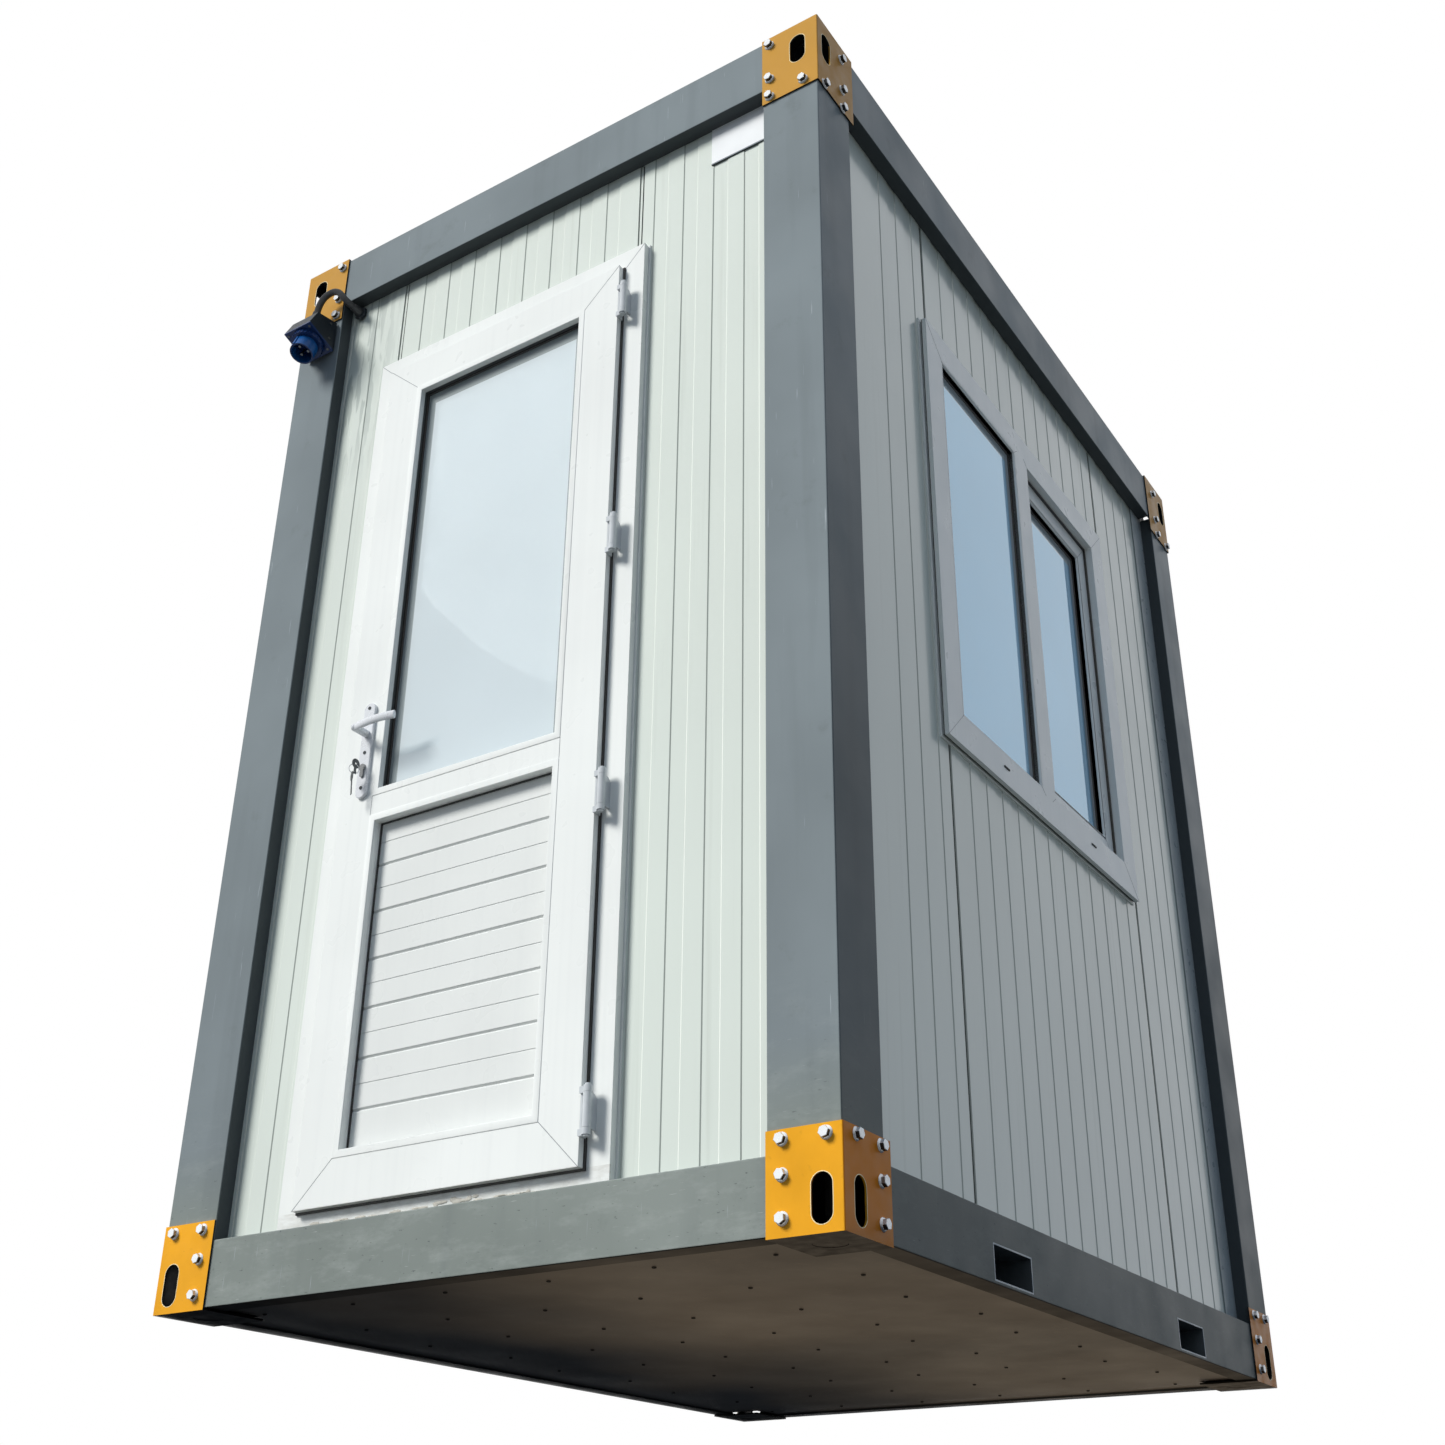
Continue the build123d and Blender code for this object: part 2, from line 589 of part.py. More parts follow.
def boarded_panel():
    """Lower panel of level boards, with a groove at each joint and a fine one along each board."""
    face = LEAF_FACE_Y + GLAZING_DEPTH
    low = PANEL_LOW - GLAZING_BITE
    high = MID_RAIL_LOW + GLAZING_BITE
    points = [(face, low)]
    joint = PANEL_LOW + BOARD_FIRST
    grooves = []
    while joint < MID_RAIL_LOW - BOARD_GROOVE:
        grooves += [(joint, BOARD_GROOVE), (joint + BOARD_PITCH / 2, BOARD_GROOVE / 3)]
        joint += BOARD_PITCH
    for middle, depth in grooves:
        if middle < MID_RAIL_LOW - 2 * BOARD_GROOVE:
            points += [(face, middle - depth), (face + depth, middle), (face, middle + depth)]
    points += [(face, high), (face + GLASS, high), (face + GLASS, low)]
    return prism(points, "x", PANE_LEFT - GLAZING_BITE, PANE_RIGHT + GLAZING_BITE)


def hinge_pair(middle):
    """One hinge: what is fixed to the frame with its pin, and what turns with the leaf."""
    low = middle - HINGE_LENGTH / 2
    high = middle + HINGE_LENGTH / 2
    web_low = low + HINGE_KNUCKLE
    web_high = high - HINGE_KNUCKLE
    head_radius, head = HINGE_HEAD
    gap = HINGE_END_GAP
    web = prism([
        (PIN_Y, web_low), (FRAME_FACE_Y, web_low), (FRAME_FACE_Y, web_high - HINGE_WEB_CHAMFER),
        (FRAME_FACE_Y - HINGE_WEB_CHAMFER, web_high), (PIN_Y, web_high),
    ], "x", PIN_X - HINGE_WEB / 2, PIN_X + HINGE_WEB / 2)
    fixed = fuse([
        rod((PIN_X, PIN_Y, web_low), (PIN_X, PIN_Y, web_high), HINGE_RADIUS),
        web,
        rod((PIN_X, PIN_Y, low - gap), (PIN_X, PIN_Y, high + gap), HINGE_PIN),
        rod((PIN_X, PIN_Y, low - gap - head), (PIN_X, PIN_Y, low - gap), head_radius),
        rod((PIN_X, PIN_Y, high + gap), (PIN_X, PIN_Y, high + gap + head), head_radius),
    ])
    turning = [slab(LEAF_RIGHT, LEAF_RIGHT + HINGE_STRAP, LEAF_FACE_Y, LEAF_FACE_Y + LEAF_LAP, low, high)]
    for z0, z1 in ((low, web_low - gap), (web_high + gap, high)):
        turning.append(rod((PIN_X, PIN_Y, z0), (PIN_X, PIN_Y, z1), HINGE_RADIUS))
        turning.append(slab(LEAF_RIGHT, PIN_X, PIN_Y, LEAF_FACE_Y + HINGE_STRAP, z0, z1))
    bore = rod((PIN_X, PIN_Y, low - 1), (PIN_X, PIN_Y, high + 1), HINGE_PIN + HINGE_BORE_GAP)
    return fixed, fuse(turning) - bore


def handle_plate(outer_y, face):
    """Long rounded plate behind a lever, from the leaf's surface out to its face."""
    width, length, thick = HANDLE_PLATE
    plane = Plane(origin=(HANDLE_X, outer_y, HANDLE_PLATE_CENTRE), x_dir=(1, 0, 0), z_dir=(0, face, 0))
    plate = extrude(plane * SlotOverall(length, width, rotation=90), amount=thick)
    front = plate.faces().sort_by(Axis.Y)[0 if face < 0 else -1]
    plate = fillet(front.edges(), HANDLE_PLATE_ROUND)
    bore = rod((HANDLE_X, outer_y - 2 * thick, HANDLE_Z), (HANDLE_X, outer_y + 2 * thick, HANDLE_Z),
               SPINDLE_BORE / 2)
    lock = through_leaf(lock_outline(LOCK_FIT), outer_y - 2 * thick, outer_y + 2 * thick)
    return plate - bore - lock


def lever(plate_y, lever_y):
    """Neck and bowed arm of one lever."""
    out = -1 if lever_y < plate_y else 1
    neck = rod((HANDLE_X, plate_y + out * LEVER_GAP, HANDLE_Z), (HANDLE_X, lever_y, HANDLE_Z), LEVER_NECK / 2)
    path = ThreePointArc((HANDLE_X, lever_y, HANDLE_Z),
                         (HANDLE_X + LEVER_REACH / 2, lever_y + out * LEVER_BOW, HANDLE_Z),
                         (HANDLE_X + LEVER_REACH, lever_y, HANDLE_Z))
    across = Plane(origin=path @ 0, x_dir=(0, 0, 1), z_dir=path % 0)
    arm = sweep(across * Ellipse(LEVER_SECTION[0] / 2, LEVER_SECTION[1] / 2), path=path)
    knob = Pos(HANDLE_X, lever_y, HANDLE_Z) * Sphere(LEVER_NECK / 2)
    return neck + knob + arm


def handle():
    """Two plates, the cylinder lock, and both levers on one square spindle."""
    thick = HANDLE_PLATE[2]
    front_plate = LEAF_FACE_Y - thick
    back_plate = LEAF_BACK_Y + thick
    plates = [handle_plate(LEAF_FACE_Y, -1), handle_plate(LEAF_BACK_Y, 1)]
    put("handle_plates", Compound(children=plates))
    put("lock_cylinder", through_leaf(lock_outline(0.0), front_plate - LOCK_STAND, back_plate + LOCK_STAND))
    spindle = slab(HANDLE_X - SPINDLE / 2, HANDLE_X + SPINDLE / 2, LEAF_FACE_Y - LEVER_STAND,
                   LEAF_BACK_Y + LEVER_STAND, HANDLE_Z - SPINDLE / 2, HANDLE_Z + SPINDLE / 2)
    levers = fuse([
        spindle,
        lever(front_plate, LEAF_FACE_Y - LEVER_STAND),
        lever(back_plate, LEAF_BACK_Y + LEVER_STAND),
    ])
    put("handle_levers", levers)


def door():
    """Frame, leaf, pane, boards, hinges and handle."""
    put("door_frame", door_frame())
    put("door_leaf", door_leaf())
    bite = GLAZING_BITE
    face = LEAF_FACE_Y + GLAZING_DEPTH
    put("door_glass", slab(PANE_LEFT - bite, PANE_RIGHT + bite, face, face + GLASS,
                           MID_RAIL_HIGH - bite, PANE_TOP + bite))
    put("door_lower_panel", boarded_panel())
    pairs = [hinge_pair(HINGE_LOWEST + share * HINGE_RISE) for share in HINGE_SPREAD]
    put("hinge_frame_halves", Compound(children=[pair[0] for pair in pairs]))
    put("hinge_leaf_halves", Compound(children=[pair[1] for pair in pairs]))
    handle()


# Window

def window_ring(y0, y1, z0, z1, face_x, back_x, width):
    """A plain frame: its outer edges, its face and back, and the width of its members."""
    block = slab(back_x, face_x, y0, y1, z0, z1)
    return block - slab(back_x - 1, face_x + 1, y0 + width, y1 - width, z0 + width, z1 - width)


def window():
    """Frame with a mullion, a fixed pane in front, and a sash behind it, both glazed."""
    back_x = WINDOW_X - WINDOW_THICK
    flange_x = WINDOW_X - WINDOW_FLANGE
    lap = WINDOW_FLANGE_LAP
    frame = slab(flange_x, WINDOW_X, WINDOW_FRONT, WINDOW_BACK, WINDOW_LOW, WINDOW_HIGH)
    frame = frame + slab(back_x, flange_x, WINDOW_FRONT + lap, WINDOW_BACK - lap,
                         WINDOW_LOW + lap, WINDOW_HIGH - lap)
    low = WINDOW_LOW + WINDOW_FACE
    high = WINDOW_HIGH - WINDOW_FACE
    first = (WINDOW_FRONT + WINDOW_FACE, MULLION_MIDDLE - MULLION / 2)
    second = (MULLION_MIDDLE + MULLION / 2, WINDOW_BACK - WINDOW_FACE)
    for y0, y1 in (first, second):
        frame = frame - slab(back_x - 1, WINDOW_X + 1, y0, y1, low, high)
    glass_x = WINDOW_X - GLASS_DEPTH
    bite = GLASS_BITE
    fixed_glass = slab(glass_x - UNIT, glass_x, first[0] - bite, first[1] + bite, low - bite, high + bite)
    frame = frame - fixed_glass
    gap = SASH_GAP
    sash_x = WINDOW_X - SASH_DEPTH
    sash_y0 = second[0] - bite
    sash_y1 = second[1] + bite
    track = slab(back_x - 1, sash_x + gap, sash_y0, sash_y1, low - bite, high + bite)
    frame = frame - track
    sash = window_ring(sash_y0, sash_y1, low - bite, high + bite, sash_x, back_x, SASH_FACE + bite)
    pane_x = sash_x - GLASS_DEPTH
    inner = SASH_FACE
    sash_glass = slab(pane_x - SASH_UNIT, pane_x, second[0] + inner - bite, second[1] - inner + bite,
                      low + inner - bite, high - inner + bite)
    sash = sash - sash_glass
    put("window_frame", frame)
    put("window_sash", sash)
    put("window_glass", Compound(children=[fixed_glass, sash_glass]))


# Power inlet

def inlet_plane():
    """The sloping plane of the inlet's flange: its middle, facing down and forward."""
    low = (FRONT, INLET_TOP - INLET_HEIGHT)
    lip = (FRONT - INLET_LIP_DEPTH, INLET_TOP - INLET_HEIGHT + INLET_LIP_HEIGHT)
    middle = (INLET_X, (low[0] + lip[0]) / 2, (low[1] + lip[1]) / 2)
    along = Vector(0, lip[0] - low[0], lip[1] - low[1])
    facing = Vector(1, 0, 0).cross(along)
    if facing.Z > 0:
        facing = facing * -1
    return Plane(origin=middle, x_dir=(1, 0, 0), z_dir=facing), along.length


def power_inlet():
    """Wedge-shaped box on the post, a square flange, and a round shroud over three pins."""
    plane, length = inlet_plane()
    low = INLET_TOP - INLET_HEIGHT
    profile = [
        (FRONT, low), (FRONT, INLET_TOP), (FRONT - INLET_TOP_DEPTH, INLET_TOP - INLET_SLOPE_FALL),
        (FRONT - INLET_LIP_DEPTH, low + INLET_LIP_HEIGHT),
    ]
    half = INLET_WIDTH / 2
    box = prism(profile, "x", INLET_X - half, INLET_X + half)
    box_top = INLET_TOP - INLET_SLOPE_FALL * (FRONT - BOX_GLAND_Y) / INLET_TOP_DEPTH
    gland_end = CABLE_ROUTE[-1]
    box = box + rod((INLET_X, BOX_GLAND_Y, box_top - GLAND_INTO_BOX), gland_end, GLAND[0])
    put("inlet_box", box)
    seat = plane * Rectangle(INLET_WIDTH, length)
    flange = extrude(seat, amount=FLANGE_THICK, dir=plane.z_dir)
    start = FLANGE_THICK
    collar = plane * Pos(0, 0, start + COLLAR[1] / 2) * Cylinder(COLLAR[0], COLLAR[1])
    start += COLLAR[1]
    shroud = plane * Pos(0, 0, start + SHROUD[1] / 2) * Cylinder(SHROUD[0], SHROUD[1])
    floor = start - WELL_INTO_COLLAR
    well = plane * Pos(0, 0, floor + SHROUD[1] / 2 + 1) * Cylinder(SHROUD[0] - SHROUD_WALL, SHROUD[1] + 2)
    put("inlet_socket", flange + collar + shroud - well)
    pins = []
    for step in range(PIN_COUNT):
        turn = math.radians(90 + 360 * step / PIN_COUNT)
        place = Pos(PIN_CIRCLE * math.cos(turn), PIN_CIRCLE * math.sin(turn), floor + PIN[1] / 2)
        pins.append(plane * place * Cylinder(PIN[0], PIN[1]))
    put("inlet_pins", Compound(children=pins))
    wall_end = CABLE_ROUTE[0]
    put("cable_gland", rod((wall_end[0], -WALL_Y, wall_end[2]), wall_end, GLAND[0]))


def cable_radii():
    """A bend radius for each corner of the route, as large as its two runs allow."""
    points = [Vector(*point) for point in CABLE_ROUTE]
    radii = []
    for before, corner, after in zip(points, points[1:], points[2:]):
        arriving = corner - before
        leaving = after - corner
        half_turn = math.radians(arriving.get_angle(leaving)) / 2
        radii.append(0.45 * min(arriving.length, leaving.length) / math.tan(half_turn))
    return radii


def inlet_cable():
    """Short loop of cable from the wall's gland to the top of the inlet box."""
    radii = cable_radii()
    path = FilletPolyline(*CABLE_ROUTE, radius=radii)
    section = Plane(origin=path @ 0, z_dir=path % 0) * Circle(CABLE / 2)
    tube = sweep(section, path=path)
    expected = path.length * math.pi * CABLE ** 2 / 4
    print("cable length", round(path.length, 1), "radii", [round(radius, 1) for radius in radii],
          "volume ratio", round(tube.volume / expected, 4))
    put("inlet_cable", tube)


steel_frame()
walls()
flashings()
floor_and_roof()
door()
window()
power_inlet()
inlet_cable()

os.makedirs("parts", exist_ok=True)
for name, shape in PIECES.items():
    export_step(shape, os.path.join("parts", name + ".step"))
print(len(PIECES), "pieces")
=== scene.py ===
"""Dresses the security guard booth: small fittings, seals and trim, finishes, a plain stage and a camera."""
import math

import bmesh
import bpy
from mathutils import Matrix, Vector


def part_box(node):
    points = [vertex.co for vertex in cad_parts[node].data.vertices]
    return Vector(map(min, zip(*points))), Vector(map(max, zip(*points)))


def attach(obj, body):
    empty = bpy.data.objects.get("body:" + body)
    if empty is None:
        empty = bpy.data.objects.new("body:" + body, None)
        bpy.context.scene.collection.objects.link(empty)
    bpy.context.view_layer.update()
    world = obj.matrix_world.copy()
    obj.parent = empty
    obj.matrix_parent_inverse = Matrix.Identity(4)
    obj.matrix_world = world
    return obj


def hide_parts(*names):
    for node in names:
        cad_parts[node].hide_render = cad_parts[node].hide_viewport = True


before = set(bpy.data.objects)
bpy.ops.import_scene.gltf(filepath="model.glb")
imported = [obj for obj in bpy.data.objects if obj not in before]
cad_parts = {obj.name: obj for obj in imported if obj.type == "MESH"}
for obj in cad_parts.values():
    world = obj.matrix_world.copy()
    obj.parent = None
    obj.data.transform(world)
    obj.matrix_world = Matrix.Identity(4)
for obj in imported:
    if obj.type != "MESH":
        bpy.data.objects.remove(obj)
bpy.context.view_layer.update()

bl_info = {
    "name": "Security guard booth dressing",
    "version": (1, 0, 0),
    "blender": (4, 5, 0),
    "location": "3D View > Sidebar > Booth",
    "description": "Adds the bolts, seals, trim and finishes of a steel guard booth to its frame",
    "category": "Object",
}


def outline(corners, axis, inset=0.0):
    """A box seen from the front (0) or side (1): its start, end, low and high, less an inset all round."""
    low, high = corners
    return low[axis] + inset, high[axis] - inset, low.z + inset, high.z - inset


# Places that the frame gives, in metres
LOW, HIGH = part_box("bottom_fittings")
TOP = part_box("top_fittings")[1].z
LEFT, RIGHT = LOW.x, HIGH.x
FRONT, BACK = LOW.y, HIGH.y
LEAF_LOW, LEAF_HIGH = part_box("door_leaf")
DOOR_LOW, DOOR_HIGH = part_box("door_frame")
PANE_LOW, PANE_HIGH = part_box("door_glass")
WINDOW_LOW, WINDOW_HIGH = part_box("window_frame")
SASH_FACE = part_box("window_sash")[1].x
PLATES_LOW, PLATES_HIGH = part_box("handle_plates")
INLET_LOW, INLET_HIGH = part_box("inlet_box")
PLATE_LOW, PLATE_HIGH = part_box("front_flashing")
SHEET_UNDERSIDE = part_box("underside_sheet")[0].z
ROOF_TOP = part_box("roof_sheet")[1].z
WALL_FACE_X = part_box("side_flashing")[0].x
WALL_FACE_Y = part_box("front_wall_left")[0].y

PANE_BITE = 0.012               # how far the door's pane and boards run into the leaf
LAP_BACK = LEAF_LOW.y + 0.015   # the back of the leaf's lapping edge
LEAF_RIGHT = 0.273
WINDOW_FACE = 0.082             # width of the window frame's members
MULLION = (-0.089, -0.009)
SASH_BITE = 0.010
SASH_MEMBER = 0.066
HANDLE_X = -0.381
HANDLE_SCREWS = (1.299, 1.185, 1.097)
LOCK_Z = 1.147
CABLE_ROUTE = (
    (-0.6320, -1.114, 2.6120),
    (-0.6320, -1.162, 2.6120),
    (-0.6640, -1.174, 2.6640),
    (-0.7305, -1.174, 2.6500),
    (-0.7305, -1.174, 2.5865),
)

# Outlines: across, then up
LEAF = (LEAF_LOW.x, LEAF_RIGHT, LEAF_LOW.z, LEAF_HIGH.z)
DOOR = outline((DOOR_LOW, DOOR_HIGH), 0)
GLASS = outline((PANE_LOW, PANE_HIGH), 0, PANE_BITE)
BOARDS = outline(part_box("door_lower_panel"), 0, PANE_BITE)
WINDOW = outline((WINDOW_LOW, WINDOW_HIGH), 1)
WINDOW_OPENING = outline((WINDOW_LOW, WINDOW_HIGH), 1, WINDOW_FACE)
SASH = outline(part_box("window_sash"), 1, SASH_BITE)
FIXED_LIGHT = (WINDOW_OPENING[0], MULLION[0], WINDOW_OPENING[2], WINDOW_OPENING[3])
SASH_LIGHT = outline(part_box("window_sash"), 1, SASH_MEMBER)

# Bolts and slots of a corner's fittings: in from the booth's corner, and height
BOTTOM_FRONT_BOLTS = ((0.118, 0.163), (0.118, 0.103), (0.118, 0.031), (0.032, 0.163))
BOTTOM_SIDE_BOLTS = ((0.130, 0.165), (0.130, 0.104), (0.130, 0.032), (0.045, 0.166))
TOP_FRONT_BOLTS = ((0.130, 2.776), (0.130, 2.665), (0.130, 2.608), (0.040, 2.610))
TOP_SIDE_BOLTS = ((0.112, 2.756), (0.112, 2.655), (0.112, 2.597), (0.029, 2.598))
FRONT_SLOTS = ((0.042, 0.057), (0.054, TOP - 0.080))
SIDE_SLOTS = ((0.055, 0.057), (0.040, TOP - 0.080))
SLOT_RADIUS = 0.021
SLOT_STRAIGHT = 0.022           # half of a slot's straight part
HOLE = (0.0750, 0.0825)         # middle of the round hole in a fitting's end, from the booth's corner
HOLE_RADIUS = 0.031

CORNERS = ((-1.0, -1.0), (-1.0, 1.0), (1.0, -1.0), (1.0, 1.0))
FORWARD = Vector((0.0, -1.0, 0.0))
BACKWARD = -FORWARD
RIGHTWARD = Vector((1.0, 0.0, 0.0))
UPWARD = Vector((0.0, 0.0, 1.0))

# The inlet's sloping plane: the way that its flange faces, and the middle of the flange's seat on the box
INLET_WAY = RIGHTWARD.cross(Vector((0.0, -0.091, 0.033))).normalized()
INLET_SEAT = Vector(((INLET_LOW.x + INLET_HIGH.x) / 2, FRONT - 0.0455, INLET_LOW.z + 0.0165))


def linear(colour):
    """Linear red, green, blue and alpha from an sRGB hex value; what isn't one is given back as it is."""
    if not isinstance(colour, str):
        return colour
    parts = [int(colour[place:place + 2], 16) / 255.0 for place in (1, 3, 5)]
    bright = [((part + 0.055) / 1.055) ** 2.4 if part > 0.04045 else part / 12.92 for part in parts]
    return (*bright, 1.0)


def length(name, description, default):
    """A length that a user may change."""
    return bpy.props.FloatProperty(name=name, description=description, default=default, min=0.0,
                                   subtype="DISTANCE", unit="LENGTH")


def paint(name, description, colour):
    """A colour that a user may change."""
    return bpy.props.FloatVectorProperty(name=name, description=description, default=linear(colour),
                                         size=4, min=0.0, max=1.0, subtype="COLOR")


class BoothSizes(bpy.types.PropertyGroup):
    """Sizes of the small pieces."""
    bolt_flange: length("Bolt flange", "Diameter of the flange under a bolt's head", 0.026)
    bolt_hex: length("Bolt head", "Width of a bolt's hexagon across its flats", 0.018)
    bolt_proud: length("Bolt height", "How far a bolt stands out from its plate", 0.0115)
    weld_width: length("Weld line", "Width of the line where two plastic profiles are welded", 0.0016)
    bead_width: length("Glazing bead", "Width of the bead that holds a pane", 0.016)
    gasket_width: length("Gasket", "Width of the rubber that shows at a pane's edge", 0.007)
    seal_proud: length("Door seal", "How far the seal shows past the leaf's edge", 0.0042)
    drain_length: length("Drain slot", "Length of a drain slot in the window frame", 0.030)
    sealant_width: length("Sealant", "Width of the sealant round a frame", 0.005)
    key_bow: length("Key bow", "Diameter of a key's bow", 0.023)
    cable_width: length("Cable", "Diameter of the inlet's cable", 0.018)
    screw_head: length("Screw head", "Diameter of a sheet screw's head", 0.009)


class BoothColours(bpy.types.PropertyGroup):
    """Colours of the finishes."""
    steel: paint("Steel frame", "Enamel on the posts and beams", "#7b8488")
    fitting: paint("Corner fittings", "Enamel on the corner fittings", "#e3a126")
    panel: paint("Wall panels", "Coating on the wall panels", "#cbd3cc")
    plastic: paint("Door and window", "White plastic profiles", "#e3e6e4")
    # The two glass colours are painted reflections of the sky
    glass: paint("Door glass", "Body colour of the door's sealed pane", "#e1edf2")
    side_glass: paint("Window glass", "Body colour of the window's sealed panes", "#acd9f5")
    rubber: paint("Rubber", "Gaskets and seals", "#0f1011")
    zinc: paint("Zinc", "Zinc plating on bolts and screws", "#cfd2d4")
    handle: paint("Handle", "Lacquer on the handle and its plates", "#d3d6da")
    hinge: paint("Hinges", "Lacquer on the hinges", "#c3c8cc")
    socket: paint("Power inlet", "Moulded blue of the inlet", "#0f4c8a")
    underside: paint("Underside", "Paint under the floor", "#4e4843")
    sealant: paint("Sealant", "Silicone round the frames", "#d6dad8")


def sizes():
    """The sizes as they are set in the scene."""
    return bpy.context.scene.booth_sizes


def colour(name):
    """One of the scene's colours as a plain tuple."""
    return tuple(getattr(bpy.context.scene.booth_colours, name))


# Modelling

def only(piece):
    """Select one object and nothing else."""
    if bpy.context.object and bpy.context.object.mode != "OBJECT":
        bpy.ops.object.mode_set(mode="OBJECT")
    bpy.ops.object.select_all(action="DESELECT")
    piece.select_set(True)
    bpy.context.view_layer.objects.active = piece


def edit(piece):
    """Go into edit mode on one object."""
    only(piece)
    bpy.ops.object.mode_set(mode="EDIT")


def done():
    """Leave edit mode."""
    bpy.ops.object.mode_set(mode="OBJECT")


def started(primitive, **settings):
    """A new primitive, made with nothing else selected."""
    bpy.ops.object.select_all(action="DESELECT")
    primitive(**settings)
    return bpy.context.object


def choose(piece, kind, test):
    """Select the faces or edges that pass a test of their middle and themselves, and nothing else."""
    bpy.ops.mesh.select_mode(type=kind)
    bpy.ops.mesh.select_all(action="DESELECT")
    mesh = bmesh.from_edit_mesh(piece.data)
    for part in (mesh.faces if kind == "FACE" else mesh.edges):
        middle = sum((corner.co for corner in part.verts), Vector()) / len(part.verts)
        if test(middle, part):
            part.select_set(True)
    mesh.select_flush_mode()
    bmesh.update_edit_mesh(piece.data)


def choose_top(piece):
    """Select the faces that look up."""
    choose(piece, "FACE", lambda middle, part: part.normal.z > 0.99)


def applied(piece, **changes):
    """Put an object's place, turn and size into its mesh, after the changes to them."""
    for name, value in changes.items():
        setattr(piece, name, value)
    only(piece)
    bpy.ops.object.transform_apply(location=True, rotation=True, scale=True)
    return piece


def smooth(piece, degrees=35.0):
    """Shade smoothly over edges gentler than an angle."""
    only(piece)
    bpy.ops.object.shade_smooth_by_angle(angle=math.radians(degrees))
    return piece


def outward(piece):
    """Turn every face outwards."""
    edit(piece)
    bpy.ops.mesh.select_all(action="SELECT")
    bpy.ops.mesh.normals_make_consistent(inside=False)
    done()
    return piece


def moved(piece, turns, to):
    """Turn a shape about the axes by degrees, in their order, and then move it."""
    for axis, degrees in turns:
        piece.data.transform(Matrix.Rotation(math.radians(degrees), 4, axis))
    piece.data.transform(Matrix.Translation(to))
    return piece


def block(low, high):
    """A block between two opposite corners."""
    low, high = Vector(low), Vector(high)
    piece = started(bpy.ops.mesh.primitive_cube_add, size=1.0, location=(low + high) / 2)
    return applied(piece, scale=high - low)


def drum(sides, radius, low, high, top_radius=None):
    """An upright drum or cone on the Z axis between two heights."""
    shape = {"vertices": sides, "depth": high - low, "location": (0.0, 0.0, (low + high) / 2)}
    if top_radius is None:
        return applied(started(bpy.ops.mesh.primitive_cylinder_add, radius=radius, **shape))
    return applied(started(bpy.ops.mesh.primitive_cone_add, radius1=radius, radius2=top_radius, **shape))


def hoop(radius, thickness):
    """A thin round ring on the level plane; its thickness is a radius too."""
    return applied(started(bpy.ops.mesh.primitive_torus_add, major_radius=radius, minor_radius=thickness,
                           major_segments=32, minor_segments=8))


def bevel(width, segments=2):
    """Round the selected edges."""
    bpy.ops.mesh.bevel(offset=width, offset_type="OFFSET", segments=segments, profile=0.5, affect="EDGES")


def rimmed(piece, heights, width, segments=1):
    """Round a drum's edges at one or more heights."""
    edit(piece)
    choose(piece, "EDGE", lambda middle, part: any(abs(middle.z - height) < 1e-4 for height in heights))
    bevel(width, segments)
    done()
    return piece


def straight(edge):
    """True for an edge that runs along X, Y or Z."""
    along = edge.verts[1].co - edge.verts[0].co
    return sum(abs(part) > 1e-5 for part in along) == 1


def softened(piece, width, segments=2, test=None):
    """Round an object's straight edges, or those whose middle passes a test."""
    edit(piece)
    choose(piece, "EDGE", lambda middle, part: straight(part) and (test is None or test(middle)))
    bevel(width, segments)
    done()
    return smooth(piece)


def ring(outer, grow, axis, shown, hidden, width, nose):
    """A rectangular ring whose outside is an outline made larger all round, open along an axis.

    It lies between the face that shows and the hidden one, and its edges on the first are rounded."""
    start, end, low, high = outer
    corners = []
    depths = sorted((shown, hidden))
    for depth, across, up in zip(depths, (start - grow, end + grow), (low - grow, high + grow)):
        corners.append((depth, across, up) if axis == 0 else (across, depth, up))
    piece = block(*corners)
    edit(piece)
    choose(piece, "FACE", lambda middle, part: abs(part.normal[axis]) > 0.9)
    bpy.ops.mesh.inset(thickness=width)
    bpy.ops.mesh.bridge_edge_loops()
    choose(piece, "EDGE", lambda middle, part: straight(part) and abs(middle[axis] - shown) < 1e-5)
    bevel(nose, 3)
    done()
    return smooth(piece)


def joined(pieces):
    """One object out of several."""
    only(pieces[0])
    for piece in pieces[1:]:
        piece.select_set(True)
    if len(pieces) > 1:
        bpy.ops.object.join()
    return bpy.context.view_layer.objects.active


def facing(point, direction, turn=0.0):
    """Where a shape goes that is modelled upright at the origin: to a point, facing a direction."""
    upright = Vector(direction).to_track_quat("Z", "Y").to_matrix().to_4x4()
    return Matrix.Translation(Vector(point)) @ upright @ Matrix.Rotation(turn, 4, "Z")


def at_corners(fronts, sides, turn=0.0):
    """Places on the front, back and sides at every corner, each turned a little more than the last."""
    found = []
    for x_side, y_side in CORNERS:
        for inset, height in fronts:
            found.append(((x_side * (RIGHT - inset), y_side * BACK, height), (0.0, y_side, 0.0)))
        for inset, height in sides:
            found.append(((x_side * RIGHT, y_side * (BACK - inset), height), (x_side, 0.0, 0.0)))
    return [facing(point, way, turn * step) for step, (point, way) in enumerate(found)]


def copies(pattern, places):
    """Copies of a modelled shape at several places, joined into one object."""
    made = []
    for place in places:
        copy = pattern.copy()
        copy.data = pattern.data.copy()
        copy.data.transform(place)
        bpy.context.collection.objects.link(copy)
        made.append(copy)
    bpy.data.objects.remove(pattern)
    return joined(made)


def finished(piece, name, finish, slot, body="booth"):
    """Name a piece, give it its finish, and let it ride on its body."""
    piece.name = name
    piece.data.name = name
    piece.data.materials.clear()
    piece.data.materials.append(MATERIALS[finish])
    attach(piece, body)
    return piece


